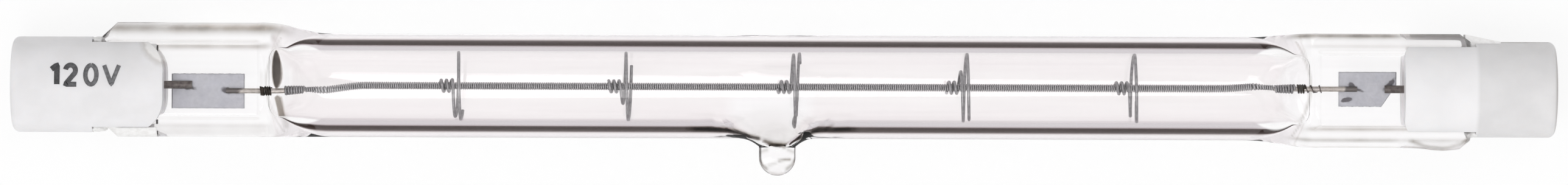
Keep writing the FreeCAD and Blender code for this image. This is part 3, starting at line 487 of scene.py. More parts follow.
# %% [markdown]
# ## The hollow
# When a pinch is pressed, the bore closes from the sides first: it keeps almost its height
# and flattens to a thin lens. That lens edge shows as a dark crescent at each end. A cone could
# close the bore, but it would draw a point there, so each ring is a circle with its height and
# its thickness scaled apart.

# %% The hollow's rings
THINNING, BLUNTNESS = 1.29, 14
HOLLOW_END = {"left": 39.2, "right": 40.0}
LENS_TALL, LENS_THIN, LENS_LIFT = 0.7, 0.07, 0.6


def hollow_ring(name, share):
    """The hollow's section, share of the way from the shoulder's start to its end."""
    side = SIDES[name]
    reach = side["shoulder"] + share * (HOLLOW_END[name] - side["shoulder"])
    eased = (1 - math.cos(math.pi * share)) / 2
    tall = BORE_RADIUS * (1 - (1 - LENS_TALL) * share ** BLUNTNESS)
    thin = BORE_RADIUS * (1 - (1 - LENS_THIN) * eased ** THINNING)
    circle = rounded_oblong(1.0, 1.0, 1.0)
    lift = side["shift"] * eased * LENS_LIFT
    return np.column_stack([
        np.full(RING, side["sign"] * reach), circle[:, 0] * tall + lift, circle[:, 1] * thin])


end_shares = np.concatenate([np.linspace(0, 0.3, 6), np.linspace(0.3, 1.0, 44)[1:]])
left_hollow = [hollow_ring("left", s) for s in end_shares][::-1]
right_hollow = [hollow_ring("right", s) for s in end_shares]
tube_hollow, before_hole = round_rings(BORE_RADIUS, 5.0, 3.8, 30)
bore_rings = left_hollow + tube_hollow + right_hollow
bore_first = len(left_hollow) + before_hole
print("rings in the hollow:", len(bore_rings))

# %% [markdown]
# ## The exhaust tip
# The tube was pumped and filled through a small side tube, melted off at the end. It leaves a
# stub with a round bead, flared into the wall, and inside it the hollow runs out in a wide
# smooth bowl with a sealed end. Two tubes could meet in a boolean, but their sharp seam would
# show in clear glass. So both skins get the hole in the same way: the loop of points round a
# cut-out patch is drawn in to an oval on the surface, the oval eases into a circle, and further
# circles carry on outwards to the bead or the bowl's end.

# %% Weave a hole and a spout into a skin
DRAWN_IN, BEND_STEPS = (0.34, 0.67, 1.0), 16


def skin_with_spout(rings, first, rows, radius, mouth, bend, profile):
    """Vertices and faces of a closed skin whose spout points to -Y.

    first is the hole's first ring, rows its half height in points, mouth how far the oval on
    the surface reaches to the left, to the right and upwards, bend how far the skin runs on
    before it turns down, and profile the (radius, distance) of later circles.
    """
    points = [tuple(p) for ring in rings for p in ring]
    steps = HOLE_STEPS
    low, high = RING // 2 - rows, RING // 2 + rows
    faces = []
    for i in range(len(rings) - 1):
        for j in range(RING):
            if first <= i < first + steps and low <= j < high:
                continue
            k = (j + 1) % RING
            faces.append((i * RING + j, i * RING + k, (i + 1) * RING + k, (i + 1) * RING + j))
    faces.append(tuple(range(RING))[::-1])
    faces.append(tuple((len(rings) - 1) * RING + j for j in range(RING)))

    edge = [(first + i, low) for i in range(steps)]
    edge += [(first + steps, low + j) for j in range(2 * rows)]
    edge += [(first + steps - i, high) for i in range(steps)]
    edge += [(first, high - j) for j in range(2 * rows)]
    loop = [i * RING + j for i, j in edge]
    spot = np.array([points[v] for v in loop])
    angle = np.arctan2(spot[:, 2], spot[:, 0] - TIP_PLACE)
    circle = np.column_stack([np.cos(angle), np.sin(angle)])
    left, right, up = mouth
    half_across = np.where(circle[:, 0] < 0, left, right)
    oval = np.column_stack([half_across, np.full(len(loop), up)]) * circle

    def add_loop(x, y, z):
        nonlocal loop
        start = len(points)
        points.extend(zip(x, y, z))
        new = list(range(start, start + len(x)))
        for a in range(len(new)):
            b = (a + 1) % len(new)
            faces.append((loop[a], loop[b], new[b], new[a]))
        loop = new

    flat = np.column_stack([spot[:, 0] - TIP_PLACE, spot[:, 2]])
    for share in DRAWN_IN:
        at = flat + (oval - flat) * share
        add_loop(at[:, 0] + TIP_PLACE, -np.sqrt(radius ** 2 - at[:, 1] ** 2), at[:, 1])

    neck, neck_drop = profile[0]
    start_y = -np.sqrt(radius ** 2 - oval[:, 1] ** 2)
    turn = oval + bend * (neck * circle - oval)
    turn_y = start_y + oval[:, 1] / -start_y * (turn[:, 1] - oval[:, 1])
    for t in np.linspace(0, 1, BEND_STEPS + 1)[1:]:
        near, middle, far = (1 - t) ** 2, 2 * t * (1 - t), t ** 2
        at = near * oval + middle * turn + far * neck * circle
        add_loop(at[:, 0] + TIP_PLACE, near * start_y + middle * turn_y - far * neck_drop, at[:, 1])
    for reach, drop in profile[1:]:
        add_loop(reach * circle[:, 0] + TIP_PLACE, np.full(len(loop), -drop), reach * circle[:, 1])
    faces.append(tuple(loop))
    return np.array(points) * MM, faces


BEAD_RADIUS, TIP_REACH, NEARLY_UPRIGHT = 1.4, 6.76, 1.54
bead = [(BEAD_RADIUS * math.cos(a), TIP_REACH - BEAD_RADIUS + BEAD_RADIUS * math.sin(a))
        for a in np.linspace(0, NEARLY_UPRIGHT, 14)]
stub = [(BEAD_RADIUS, drop) for drop in np.linspace(4.55, 5.28, 9)] + bead
bowl = [(0.85, 4.05), (0.74, 4.2), (0.56, 4.4), (0.34, 4.6), (0.16, 4.75), (0.08, 4.8)]
outer_points, outer_faces = skin_with_spout(
    outer_rings, outer_first, 32, TUBE_RADIUS, (2.9, 2.8, 3.1), 0.5, stub)
bore_points, bore_faces = skin_with_spout(
    bore_rings, bore_first, 36, BORE_RADIUS, (4.3, 3.0, 2.2), 0.3, bowl)
print("faces in both skins:", len(outer_faces) + len(bore_faces))

# %% [markdown]
# ## Marks and painted shade in the quartz
# Pressing leaves marks: the folded rim of each pinch, the step at the edge of its web, the
# line where the jaws stopped, and a fold where the hollow closes. The dark lines that the glass
# shows along these, about the tip and along the right pinch's lower bulge are painted in here
# as shade, together with the marks. They could be painted as a picture, but a picture has to be
# unwrapped over the glass. Here each mark is a soft bell across a line, kept on the mesh as one
# number per point, which the quartz finish darkens by. A painted shade line is a strength, a
# width and places. A rim's line is an inset or a place, a width and a strength, and fade takes
# it back under the cap's ears.

# %% How marked and shaded each point is
def bell(distance, width):
    """1 on a line, fading to 0 over about width millimetres."""
    return np.exp(-(distance / width) ** 2)


def from_path(x, y, places):
    """How far each point is, seen from above, from a line through the places."""
    nearest = np.full(len(x), 1e9)
    for (x0, y0), (x1, y1) in zip(places, places[1:]):
        run = ((x - x0) * (x1 - x0) + (y - y0) * (y1 - y0)) / ((x1 - x0) ** 2 + (y1 - y0) ** 2)
        run = np.clip(run, 0, 1)
        nearest = np.minimum(nearest, np.hypot(x - x0 - run * (x1 - x0), y - y0 - run * (y1 - y0)))
    return nearest


# Painted shade lines along the tip's flare, round its stub and bead, at the left hollow's fold and
# along the right pinch's lower bulge.
SHADE_LINES = [
    (1.5, 0.16, [(-7.2, -3.20), (-4.0, -3.28), (-3.2, -3.50), (-2.55, -3.78), (-1.95, -3.92)]),
    (1.5, 0.16, [(1.20, -3.92), (1.65, -3.68), (2.2, -3.38), (3.2, -3.24), (5.2, -3.20)]),
    (0.85, 0.16, [(-1.45, -4.12), (-0.75, -4.36), (-0.20, -4.42), (0.02, -4.55)]),
    (0.55, 0.14, [(-1.82, -5.60), (-1.65, -5.95), (-1.32, -6.22)]),
    (0.50, 0.14, [(0.80, -5.60), (0.62, -5.95), (0.25, -6.22)]),
    (0.75, 0.11, [(-0.35, -5.62), (0.10, -5.53), (0.45, -5.52)]),
    (0.25, 0.12, [(-1.1, -5.95), (-0.6, -5.80)]),
    (0.30, 0.15, [(-1.75, -4.95), (-1.3, -4.80)]),
    (0.30, 0.15, [(0.70, -4.95), (0.35, -4.80)]),
    (0.25, 0.10, [(-1.0, -6.55), (-0.4, -6.66), (0.1, -6.55)]),
    (0.35, 0.24, [(-38.05, -2.2), (-37.85, -3.1)]),
    (0.50, 0.15, [(47.8, -3.95), (48.9, -4.35), (50.4, -4.50), (51.5, -4.18), (52.0, -3.85)]),
]

# Painted shade lines along each pinch's rims, web steps and jaw line, over the pressing marks.
RIMS = {
    "left": dict(top=(0.42, 0.36, 0.74), bottom=(0.30, 0.50, 0.12),
                 above=(2.95, 0.22, 0.34), below=(-3.10, 0.16, 0.12),
                 jaw=(39.45, 0.22), fade=0.15),
    "right": dict(top=(0.17, 0.20, 0.85), bottom=(0.58, 0.15, 0.48),
                  above=(3.25, 0.14, 0.16), below=(-3.05, 0.16, 0.46),
                  jaw=(40.1, 0.30), fade=0.45),
}
EARS_FROM, EARS_BLEND = 46.3, 0.8
JAW_BEND, JAW_WIDTH, JAW_HALF = 0.10, 0.10, 3.6


def outer_marks_and_shade(points):
    """Marks and painted shade on the outer skin: rims, web steps and jaw lines, and painted shade
    lines, most of them about the tip.
    """
    x, y = points[:, 0] / MM, points[:, 1] / MM
    total = np.zeros(len(points))
    for name, side in SIDES.items():
        rim = RIMS[name]
        reach = x * side["sign"]
        pressed = smooth_step((reach - side["pinch"] + 1.2) / 1.6)
        widened = smooth_step((reach - side["shoulder"]) / (side["pinch"] - side["shoulder"]))
        along_rim = smooth_step((reach - side["pinch"] + 3.0) / 2.6)
        half = TUBE_RADIUS + (PINCH_HALF_WIDE - TUBE_RADIUS) * widened
        in_cap = 1 - rim["fade"] * smooth_step((reach - EARS_FROM) / EARS_BLEND)
        for (inset, width, strength), way in ((rim["top"], 1), (rim["bottom"], -1)):
            line = way * (half - inset) + side["shift"] * widened
            total += strength * along_rim * in_cap * bell(y - line, width)
        for line, width, strength in (rim["above"], rim["below"]):
            total += strength * pressed * bell(y - line, width)
        jaw_reach, jaw_strength = rim["jaw"]
        jaw_line = jaw_reach - JAW_BEND * (y - 0.2) ** 2
        total += jaw_strength * bell(reach - jaw_line, JAW_WIDTH) * (np.abs(y) < JAW_HALF)
    uneven = 0.85 + 0.15 * np.sin(2.1 * x + 0.7) * np.sin(0.83 * x)
    upper_side = points[:, 2] / MM > -0.2
    for strength, width, places in SHADE_LINES:
        total += strength * upper_side * bell(from_path(x, y, places), width)
    return np.clip(total * uneven, 0, 1.0)


def hollow_marks_and_shade(points):
    """Marks and painted shade on the hollow: a fold line painted as shade at its left end, the
    bowl's end darkened, and a faint tint about the tip.
    """
    x, y = points[:, 0] / MM, points[:, 1] / MM
    fold_line = -38.52 + 0.30 * np.clip(-y - 0.6, 0, None)
    upper = 0.46 * np.sqrt(np.clip(1 - ((y - 1.2) / 1.5) ** 2, 0, 1))
    lower = 0.33 * smooth_step((-y - 0.7) / 0.3)
    fold = smooth_step((upper + lower - np.abs(x - fold_line)) / 0.12) * (x < -37.2)
    darkened_bowl_end = smooth_step((-y - 3.95) / 0.25)
    tint = 0.16 * smooth_step(1.25 - np.hypot((x + 0.9) / 3.6, (y + 3.4) / 1.9))
    return np.clip(np.where(y > -0.5, 1.0, 0.72) * fold + 0.9 * darkened_bowl_end + tint, 0, 1.0)


marks_and_shade = np.concatenate([outer_marks_and_shade(outer_points), hollow_marks_and_shade(bore_points)])
print("stained points:", int((marks_and_shade > 0.05).sum()))

# %% [markdown]
# ## One piece of quartz
# Light bends by which way a face looks, so the outer skin has to face the air outside and the
# hollow's skin the air inside. Two objects could hold the two skins, but the glass is one piece,
# so both go into one mesh, and each gets its own finish by a material slot.

# %% Join both skins into one piece of quartz
def new_piece(name, points, faces, finish):
    """A smooth mesh piece that belongs to the lamp."""
    mesh = bpy.data.meshes.new(name)
    mesh.from_pydata([tuple(p) for p in points], [], faces)
    mesh.update()
    mesh.materials.append(finish)
    for face in mesh.polygons:
        face.use_smooth = True
    piece = bpy.data.objects.new(name, mesh)
    scene.collection.objects.link(piece)
    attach(piece, "root")
    return piece


def face_the_air(mesh, first_hollow_point):
    """Turns the outer skin's faces outwards and the hollow's faces into the hollow."""
    shape = bmesh.new()
    shape.from_mesh(mesh)
    bmesh.ops.recalc_face_normals(shape, faces=shape.faces)
    hollow = [face for face in shape.faces if face.verts[0].index >= first_hollow_point]
    bmesh.ops.reverse_faces(shape, faces=hollow)
    shape.to_mesh(mesh)
    shape.free()


inner_start = len(outer_points)
all_faces = [tuple(f) for f in outer_faces]
all_faces += [tuple(v + inner_start for v in f) for f in bore_faces]
envelope = new_piece(
    "quartz_tube", np.vstack([outer_points, bore_points]), all_faces, quartz)
face_the_air(envelope.data, inner_start)
envelope.data.materials.append(hollow_quartz)
for face in envelope.data.polygons:
    face.material_index = int(face.vertices[0] >= inner_start)
envelope.data.attributes.new("shade_and_marks", "FLOAT", "POINT").data.foreach_set("value", marks_and_shade)
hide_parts("quartz_envelope")
print("quartz faces:", len(envelope.data.polygons))

# %% [markdown]
# ## Ceramic caps
# The caps are dry-pressed white steatite, fired without glaze. Light sinks a little way into
# it, and its surface is fine-grained, with faint cloudy patches. A plain rough white would look
# like chalk, so a little of the light goes under the surface. The right cap's ears are thinner
# and let more light through than its barrel; that light is painted in as a lighter colour.

# %% Ceramic finish
LIT_EARS_START = (52.6 * MM, 52.9 * MM)


def ceramic_finish(name, low, high, lit_ear_low=None, lit_ear_high=None):
    """Cloudy ceramic between two colours, and past the slot between two lighter ones, which paint
    in light through the thin ears.
    """
    finish, tree, shader = new_finish(name)
    cloud = grain(tree, 2.6, 5.0)
    body = between(tree, cloud, low, high)
    if lit_ear_low:
        place = add_node(tree, "ShaderNodeTexCoord")
        split = add_node(tree, "ShaderNodeSeparateXYZ")
        tree.links.new(place.outputs["Object"], split.inputs["Vector"])
        light_past_slot = spread(tree, split.outputs["X"], 1.0, 0.0, *LIT_EARS_START)
        body = blend_colours(tree, light_past_slot, body, between(tree, cloud, lit_ear_low, lit_ear_high))
    tree.links.new(body, shader.inputs["Base Color"])
    tree.links.new(spread(tree, grain(tree, 0.5), 0.42, 0.6), shader.inputs["Roughness"])
    shader.inputs["Subsurface Weight"].default_value = 0.25
    shader.inputs["Subsurface Radius"].default_value = (1.0, 0.9, 0.8)
    shader.inputs["Subsurface Scale"].default_value = 0.8 * MM
    roughen(tree, shader, grain(tree, 0.12, 3.0), 0.006, 0.5)
    return finish


left_ceramic = ceramic_finish("fired_ceramic_left", (0.80, 0.79, 0.80), (0.86, 0.85, 0.865))
# The right cap's lighter pair of colours past the slot is painted light through its thin ears.
right_ceramic = ceramic_finish("fired_ceramic_right", (0.73, 0.72, 0.725), (0.79, 0.78, 0.785),
                               (0.86, 0.85, 0.86), (0.90, 0.89, 0.90))
print("two ceramic finishes")

# %% [markdown]
# ## Cement, foil, wires and contacts
# A grey-white cement holds each pinch in its slot. The foil and the leads in the pinch are
# molybdenum, the filament and its spiral supports tungsten, and the contacts are plated with
# nickel. One finish could serve every metal, but rolled, drawn and plated metal differ in grain
# and gloss, so one function makes each of them from two colours, two roughnesses and a grain.

# %% Metal and cement finishes
def metal_finish(name, low, high, roughness, size, pits):
    """Metal between two colours and two roughnesses, with blotches of a size and fine pits."""
    finish, tree, shader = new_finish(name)
    shader.inputs["Metallic"].default_value = 1.0
    spots = grain(tree, size, 5.0)
    tree.links.new(between(tree, spots, low, high), shader.inputs["Base Color"])
    tree.links.new(spread(tree, spots, *roughness), shader.inputs["Roughness"])
    roughen(tree, shader, grain(tree, size * 0.4), pits, 0.6)
    return finish


def marked(finish, marks, colour, ragged=0.35, depth=0.85, inner=0.7, outer=1.2):
    """Marks and painted shade on a finish: each is a place, its half length and half width, and its
    turn.

    A mark has its full depth inside inner, none past outer, and an edge that wanders by ragged.
    """
    tree = finish.node_tree
    socket = tree.nodes["Principled BSDF"].inputs["Base Color"]
    body = socket.links[0].from_socket
    place = add_node(tree, "ShaderNodeTexCoord")
    wander = spread(tree, grain(tree, 0.45, 3.0), -ragged, ragged)
    for (x, y), (long, wide), turn in marks:
        moved = add_node(tree, "ShaderNodeMapping")
        moved.vector_type = "TEXTURE"
        moved.inputs["Location"].default_value = (x * MM, y * MM, 0.0)
        moved.inputs["Rotation"].default_value = (0.0, 0.0, math.radians(turn))
        moved.inputs["Scale"].default_value = (long * MM, wide * MM, 1.0)
        tree.links.new(place.outputs["Object"], moved.inputs["Vector"])
        length = tree.nodes.new("ShaderNodeVectorMath")
        length.operation = "LENGTH"
        tree.links.new(moved.outputs["Vector"], length.inputs[0])
        edge = arithmetic(tree, "ADD", length.outputs["Value"], wander)
        share = spread(tree, edge, depth, 0.0, inner, outer)
        body = blend_colours(tree, share, body, (*colour, 1.0))
    tree.links.new(body, socket)


# On the left ear's corner: a brown ring of painted shade along the ear's sweep, and inside it
# painted light that makes the corner near white.
SWEEP_CORNER = (-46.6, 3.65)
marked(left_ceramic, [(SWEEP_CORNER, (2.45, 2.30), 0)], (0.50, 0.46, 0.42),
       ragged=0.03, depth=0.45, inner=0.90, outer=1.08)
marked(left_ceramic, [(SWEEP_CORNER, (2.20, 2.05), 0)], (0.95, 0.93, 0.92),
       ragged=0.03, depth=0.9, inner=0.92, outer=1.02)
# Painted shade along the right cap's end and its top edge.
marked(right_ceramic, [((58.85, 0.0), (0.22, 4.2), 0), ((56.0, 3.72), (3.2, 0.16), 0)],
       (0.30, 0.27, 0.25), ragged=0.02, depth=0.7, inner=0.4, outer=1.3)
foil_metal = metal_finish(
    "rolled_molybdenum", (0.46, 0.46, 0.50), (0.68, 0.68, 0.72), (0.45, 0.65), 0.9, 0.02)
marked(foil_metal, [
    ((-45.8, -0.10), (0.80, 0.24), -12), ((-42.3, -0.42), (0.55, 0.25), -8),
    ((42.85, -0.82), (0.42, 0.16), 12), ((43.35, 0.25), (0.30, 0.20), -30),
    ((43.6, 0.0), (0.65, 0.13), -15), ((46.25, 0.45), (0.62, 0.20), 50)], (0.10, 0.09, 0.10))
lead_metal = metal_finish(
    "drawn_molybdenum", (0.11, 0.095, 0.09), (0.26, 0.23, 0.22), (0.4, 0.6), 0.3, 0.006)
tungsten = metal_finish(
    "coiled_tungsten", (0.24, 0.235, 0.24), (0.40, 0.39, 0.40), (0.35, 0.55), 0.3, 0.004)
coil_tungsten = metal_finish(
    "pale_tungsten", (0.36, 0.355, 0.36), (0.50, 0.49, 0.50), (0.35, 0.55), 0.3, 0.004)
inner_lead_metal = metal_finish(
    "bright_molybdenum", (0.42, 0.38, 0.35), (0.62, 0.58, 0.55), (0.35, 0.55), 0.3, 0.006)
marked(inner_lead_metal, [((-42.1, -0.45), (0.75, 0.5), 0), ((43.3, 0.0), (0.6, 0.5), 0)],
       (0.10, 0.09, 0.09))
burnt_metal = metal_finish(
    "burnt_molybdenum", (0.015, 0.012, 0.010), (0.09, 0.07, 0.055), (0.4, 0.6), 0.2, 0.006)
nickel = metal_finish(
    "nickel_plate", (0.62, 0.60, 0.56), (0.74, 0.72, 0.68), (0.22, 0.4), 0.6, 0.004)

cement, tree, shader = new_finish("grey_white_cement")
crumbs = grain(tree, 0.35, 6.0)
cement_colour = between(tree, crumbs, (0.83, 0.82, 0.81), (0.93, 0.925, 0.92))
tree.links.new(cement_colour, shader.inputs["Base Color"])
tree.links.new(spread(tree, crumbs, 0.75, 0.95), shader.inputs["Roughness"])
roughen(tree, shader, crumbs, 0.05, 0.8)
print("seven metals and one cement")

# %% [markdown]
# ## Finishes for the measured pieces
# The caps, cement, contacts, leads and supports keep their measured shape, so they only need a
# finish. The quartz, the foils, the filament and its spuds get a finer piece instead.

# %% Give the measured pieces their finishes
FINISHES = {
    "left_ceramic_cap": left_ceramic, "right_ceramic_cap": right_ceramic,
    "left_cap_cement": cement, "right_cap_cement": cement,
    "left_contact_button": nickel, "right_contact_button": nickel,
    "left_outer_lead": lead_metal, "right_outer_lead": lead_metal,
    "left_inner_lead": inner_lead_metal, "right_inner_lead": inner_lead_metal,
}
FINISHES.update({f"filament_support_{n}": tungsten for n in range(1, 6)})
for name, finish in FINISHES.items():
    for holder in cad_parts[name].material_slots:
        holder.material = finish
print("finished pieces:", len(FINISHES))

# %% [markdown]
# ## Cement at the barrels
# A little cement is pushed out between each barrel and the glass corner, and dries in a lump.
# An icosphere pushed about by noise would do, but an egg of rings whose radius swells with two
# waves is closed, even and the same every time.

# %% Lumps of cement
BOXINESS = 0.8


def lump(name, centre, half, seed):
    """A closed lumpy egg of cement, slightly boxy. seed moves its waves along."""
    rows, columns = 16, 28
    points = []
    for i in range(1, rows):
        polar = math.pi * i / rows
        for j in range(columns):
            turn = 2 * math.pi * j / columns
            swell = 1 + 0.07 * math.sin(3 * turn + seed + i)
            swell += 0.05 * math.sin(5 * turn - 2 * i + seed)
            ring = math.sin(polar)
            away = (math.cos(polar), ring * math.cos(turn), ring * math.sin(turn))
            points.append([c + h * swell * math.copysign(abs(a) ** BOXINESS, a)
                           for c, h, a in zip(centre, half, away)])
    points.append((centre[0] + half[0], *centre[1:]))
    points.append((centre[0] - half[0], *centre[1:]))
    first, last = len(points) - 2, len(points) - 1
    faces = []
    for j in range(columns):
        k = (j + 1) % columns
        faces.append((first, j, k))
        for i in range(rows - 2):
            near, far = i * columns, (i + 1) * columns
            faces.append((near + j, far + j, far + k, near + k))
        base = (rows - 2) * columns
        faces.append((last, base + k, base + j))
    return new_piece(name, np.array(points) * MM, faces, cement)


for name, centre, half, seed in (
        ("left_far_lump", (-52.25, 3.34, 0.0), (0.62, 0.30, 1.30), 0.4),
        ("left_near_lump", (-52.25, -3.30, 0.0), (0.62, 0.30, 1.30), 1.7),
        ("right_near_lump", (52.45, -3.38, 0.0), (0.55, 0.26, 1.30), 2.9)):
    print(lump(name, centre, half, seed).name)

# %% [markdown]
# ## The film along the left pinch
# Under the left ear's lower edge a film of cement is wiped out over the rim of the pinch. It
# hides the gap in the slot, which lies in shade, so its pale colour also stands in for light
# there. A thickened copy of the rim's faces would do the same, but the pinch's own sections give
# a cleaner strip: it follows the rim's rounding, a few hundredths of a millimetre thick.

# %% Wipe the film
FILM_LAYERS, FILM_HIGH, FILM_HALF_THICK = (0.03, 0.004), 0.85, 1.49
film_verts, film_faces = [], []
film_reaches = np.linspace(47.75, 51.95, 34)
count = 40
for layer in FILM_LAYERS:
    for reach in film_reaches:
        section = pinch_section(SIDES["left"], reach)
        low_enough = section[:, 1] < section[:, 1].min() + FILM_HIGH
        lower = section[low_enough & (np.abs(section[:, 2]) < FILM_HALF_THICK)]
        lower = lower[np.argsort(lower[:, 2])]
        pick = np.linspace(0, len(lower) - 1, count)
        strip = np.column_stack([np.interp(pick, range(len(lower)), lower[:, k]) for k in range(3)])
        centre = np.array([strip[0, 0], strip[:, 1].max() - 0.3, 0.0])
        away = strip - centre
        away /= np.linalg.norm(away, axis=1)[:, None]
        film_verts.extend(strip + away * layer)
block = len(film_reaches) * count
for i in range(len(film_reaches) - 1):
    for j in range(count - 1):
        a = i * count + j
        b, c, d = a + 1, a + count + 1, a + count
        film_faces.append((a, b, c, d))
        film_faces.append((block + d, block + c, block + b, block + a))
last = (len(film_reaches) - 1) * count
border = list(range(count)) + [i * count + count - 1 for i in range(1, len(film_reaches))]
border += [last + count - 2 - j for j in range(count - 1)]
border += [i * count for i in range(len(film_reaches) - 2, 0, -1)]
for a, b in zip(border, border[1:] + border[:1]):
    film_faces.append((b, a, block + a, block + b))
film = new_piece("left_cement_film_over_shade", np.array(film_verts) * MM, film_faces, cement)
print(film.name, len(film_faces), "faces")

# %% [markdown]
# ## The filament
# The filament is tungsten wire wound into a close coil. Its left end is welded below the
# middle, so the coil eases up to the axis over its first few millimetres. A striped cylinder
# could stand in for it from afar, but real turns catch the light one by one, so a wire is swept
# along a helix. A curve with a bevel could do that too; the points are worked out here, since
# the helix's own axis bends.

# %% Wind wire into coils
def sweep(points, wire_radius, sides):
    """Vertices and faces of a round wire along points."""
    points = np.asarray(points, float)
    ahead = np.gradient(points, axis=0)
    ahead /= np.linalg.norm(ahead, axis=1)[:, None]
    across = np.cross(ahead[0], (0.3, 0.2, 0.9))
    verts, faces = [], []
    for number, (centre, heading) in enumerate(zip(points, ahead)):
        across = across - heading * (across @ heading)
        across /= np.linalg.norm(across)
        up = np.cross(heading, across)
        for s in range(sides):
            turn = 2 * math.pi * s / sides
            verts.append(centre + wire_radius * (math.cos(turn) * across + math.sin(turn) * up))
        if number:
            base = (number - 1) * sides
            for s in range(sides):
                t = (s + 1) % sides
                faces.append((base + s, base + t, base + sides + t, base + sides + s))
    last = (len(points) - 1) * sides
    faces.append(tuple(range(sides))[::-1])
    faces.append(tuple(last + s for s in range(sides)))
    return np.array(verts), faces


def coil_points(start, end, pitch, turn_radius, height, per_turn=12):
    """Points along a helix about X, whose axis follows height(x)."""
    x = np.arange(start, end, pitch / per_turn)
    turn = 2 * math.pi * (x - start) / pitch
    return np.column_stack([x, height(x) + turn_radius * np.cos(turn), turn_radius * np.sin(turn)])


LEFT_LEAD_DROP, BEND = -0.45, 4.5
FILAMENT_START, FILAMENT_END = -36.25, 37.15
LIFT, LIFT_PLACE, LIFT_LONG = 0.16, 36.0, 1.6


def filament_height(x):
    """Below the axis at its left end, on it along the run, slightly lifted at the right."""
    drop = LEFT_LEAD_DROP * (1 - smooth_step((x - FILAMENT_START) / BEND))
    return drop + LIFT * np.exp(-((x - LIFT_PLACE) / LIFT_LONG) ** 2)


WIRE_RADIUS, COIL_RADIUS, COIL_PITCH = 0.065, 0.235, 0.165
line = coil_points(FILAMENT_START, FILAMENT_END, COIL_PITCH, COIL_RADIUS, filament_height)
verts, faces = sweep(line * MM, WIRE_RADIUS * MM, 5)
filament = new_piece("coiled_filament", verts, faces, coil_tungsten)
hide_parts("filament_coil")
print("turns in the filament:", round((FILAMENT_END - FILAMENT_START) / COIL_PITCH))

# %% [markdown]
# ## The spuds
# A tight winding of thicker wire joins each end of the filament to its lead. A plain sleeve
# would be quicker, but the turns show through the clear glass, and the same helpers wind it.

# %% Wind the spuds
def level_coil(start, end, pitch, turn_radius, level, wire_radius, sides):
    """Vertices and faces, in metres, of a coil along X at one level."""
    line = coil_points(
        start, end, pitch, turn_radius, lambda x: np.full_like(x, level), per_turn=20)
    return sweep(line * MM, wire_radius * MM, sides)


SPUD_WIRE, SPUD_PITCH, SPUD_TURN, SPUD_LONG = 0.1, 0.205, 0.3, 1.7
for side, start, level in (("left", FILAMENT_START - SPUD_LONG, LEFT_LEAD_DROP),
                           ("right", FILAMENT_END, 0.0)):
    end = start + SPUD_LONG
    verts, faces = level_coil(
        start + SPUD_WIRE, end - SPUD_WIRE, SPUD_PITCH, SPUD_TURN, level, SPUD_WIRE, 8)
    spud = new_piece(f"{side}_wound_spud", verts, faces, tungsten)
    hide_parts(f"{side}_filament_spud")
    print(spud.name, len(faces), "faces")

# %% [markdown]
# ## Windings on the inner leads
# Where each inner lead leaves the seal, a short winding of thinner wire grips it, burnt dark. On
# the right its end runs on as a loose, thinner tail. From above each reads as a dark knot at
# the end of the hollow. A dark bead could stand in, but the winding costs only a few faces.

# %% Wind the leads
for name, start, end, pitch, turn_radius, level, wire_radius, finish in (
        ("left_lead_winding", -39.70, -38.95, 0.19, 0.29, LEFT_LEAD_DROP, 0.085, burnt_metal),
        ("right_lead_winding", 38.98, 39.60, 0.19, 0.29, 0.0, 0.085, burnt_metal),
        ("right_winding_tail", 39.60, 40.95, 0.50, 0.27, 0.0, 0.05, lead_metal)):
    verts, faces = level_coil(start, end, pitch, turn_radius, level, wire_radius, 6)
    winding = new_piece(name, verts, faces, finish)
    print(winding.name, len(faces), "faces")

# %% [markdown]
# ## The sealed foils
# Each foil is rolled so thin that it gives with the quartz as it cools. Pressing leaves it
# slightly wavy and frays its edges, and the right one is folded away at its lower outer
# corner. A cloth simulation could crumple it, but a fine grid bent by two slow waves and cut
# along the fold gives the same look at once.

# %% Roll the foils
FOIL_TOP, FOIL_THICK = -0.18, 0.03
FOILS = {
    "left": dict(span=(-46.70, -41.15), height=-0.465, fold=0.0),
    "right": dict(span=(42.30, 46.70), height=-0.005, fold=0.9),
}
FOIL_HALF = 1.325
for side, foil in FOILS.items():
    near, far = foil["span"]
    columns, rows = 60, 30
    verts, faces = [], []
    for top in (1, 0):
        for i in range(columns + 1):
            for j in range(rows + 1):
                s, t = i / columns, j / rows
                y = foil["height"] + FOIL_HALF * (2 * t - 1)
                x = near + (far - near) * s
                outer = max(0.0, 1 - t / 0.62) * foil["fold"]
                x -= outer * s * 1.25
                ragged = 0.012 * (math.sin(9.1 * x) + math.sin(23.7 * x + 1.3))
                ragged *= math.sin(4.3 * y + 1.0)
                wave = 0.010 * math.sin(1.9 * x + 0.8) + 0.008 * math.sin(3.1 * y + x)
                z = FOIL_TOP + wave - (0 if top else FOIL_THICK)
                verts.append((x * MM, (y + ragged * abs(2 * t - 1)) * MM, z * MM))
    sheet_size = (columns + 1) * (rows + 1)
    for i in range(columns):
        for j in range(rows):
            a = i * (rows + 1) + j
            b, c, d = a + 1, a + rows + 2, a + rows + 1
            faces.append((a, d, c, b))
            faces.append(tuple(sheet_size + v for v in (a, b, c, d)))
    border = [i * (rows + 1) for i in range(columns)]
    border += [columns * (rows + 1) + j for j in range(rows)]
    border += [(columns - i) * (rows + 1) + rows for i in range(columns)]
    border += [rows - j for j in range(rows)]
    for a, b in zip(border, border[1:] + border[:1]):
        faces.append((a, sheet_size + a, sheet_size + b, b))
    sheet_piece = new_piece(f"{side}_rolled_foil", verts, faces, foil_metal)
    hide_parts(f"{side}_seal_foil")
    print(sheet_piece.name, len(faces), "faces")

# %% [markdown]
# ## The voltage on the left cap
# A plain voltage is printed in grey ink on the left cap. A text object would bring a typeface
# with it, so each character is one pen stroke, drawn flat and then wrapped round the barrel,
# just proud of the ceramic. The ink is thinner towards its right end.

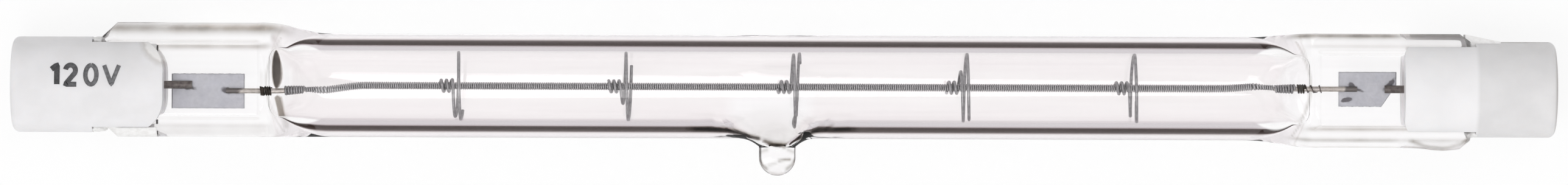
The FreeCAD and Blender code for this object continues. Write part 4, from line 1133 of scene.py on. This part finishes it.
# %% Ink finish
FADING_STOPS = (-55.5 * MM, -51.5 * MM)
ink, tree, shader = new_finish("grey_ink")
wear = grain(tree, 0.22, 4.0)
place = add_node(tree, "ShaderNodeTexCoord")
split = add_node(tree, "ShaderNodeSeparateXYZ")
tree.links.new(place.outputs["Object"], split.inputs["Vector"])
fading = spread(tree, split.outputs["X"], 0.0, 1.0, *FADING_STOPS)
full_ink = between(tree, wear, (0.035, 0.035, 0.037), (0.08, 0.08, 0.085))
thin_ink = between(tree, wear, (0.11, 0.11, 0.115), (0.22, 0.22, 0.23))
tree.links.new(blend_colours(tree, fading, full_ink, thin_ink), shader.inputs["Base Color"])
tree.links.new(spread(tree, wear, 0.55, 0.8), shader.inputs["Roughness"])
roughen(tree, shader, wear, 0.003, 0.3)
print("ink ready")

# %% Print the strokes
CAP_RADIUS, CAPITAL, PEN_STEP = 3.65, 1.46, 0.08
INK_PROUD, INK_SUNK = 0.012, -0.01


def arc(centre_x, centre_y, wide, high, start, end, steps=16):
    """Points on part of an upright ellipse, angles in degrees from its right."""
    turn = np.radians(np.linspace(start, end, steps))
    return [(centre_x + wide * math.cos(a), centre_y + high * math.sin(a)) for a in turn]


STROKES = {
    "1": [(0.0, 0.78), (0.85, 1.0), (0.85, 0.0)],
    "2": arc(0.45, 0.72, 0.45, 0.28, 170, -30) + [(0.0, 0.0), (1.0, 0.0)],
    "0": arc(0.5, 0.5, 0.5, 0.5, 90, 450, 28),
    "V": [(0.0, 1.0), (0.5, 0.0), (1.0, 1.0)],
}
LAYOUT = (("1", -55.62, 0.50, 0.42), ("2", -54.55, 0.84, 0.38),
          ("0", -53.03, 0.84, 0.34), ("V", -51.62, 1.12, 0.32))
verts, faces = [], []
for character, pen_x, wide, pen in LAYOUT:
    stroke = np.array([(pen_x + x * wide, y * CAPITAL) for x, y in STROKES[character]])
    dense = []
    for a, b in zip(stroke[:-1], stroke[1:]):
        count = max(2, int(np.linalg.norm(b - a) / PEN_STEP))
        dense += [a + (b - a) * s for s in np.linspace(0, 1, count, endpoint=False)]
    dense = np.array(dense + [stroke[-1]])
    ahead = np.gradient(dense, axis=0)
    ahead /= np.linalg.norm(ahead, axis=1)[:, None]
    across = np.column_stack([-ahead[:, 1], ahead[:, 0]])
    base = len(verts)
    for layer in (INK_PROUD, INK_SUNK):
        for edge in (pen / 2, -pen / 2):
            for x, y in dense + across * edge:
                radius = CAP_RADIUS + layer
                verts.append((x * MM, y * MM, math.sqrt(radius ** 2 - y ** 2) * MM))
    n = len(dense)
    for i in range(n - 1):
        a, b, c, d = (base + k * n + i for k in (0, 1, 3, 2))
        for p, q in ((a, b), (b, c), (c, d), (d, a)):
            faces.append((p, q, q + 1, p + 1))
    faces.append(tuple(base + k * n for k in (0, 2, 3, 1)))
    faces.append(tuple(base + k * n + n - 1 for k in (0, 1, 3, 2)))
voltage = new_piece("printed_voltage", verts, faces, ink)
print(voltage.name, len(faces), "faces")
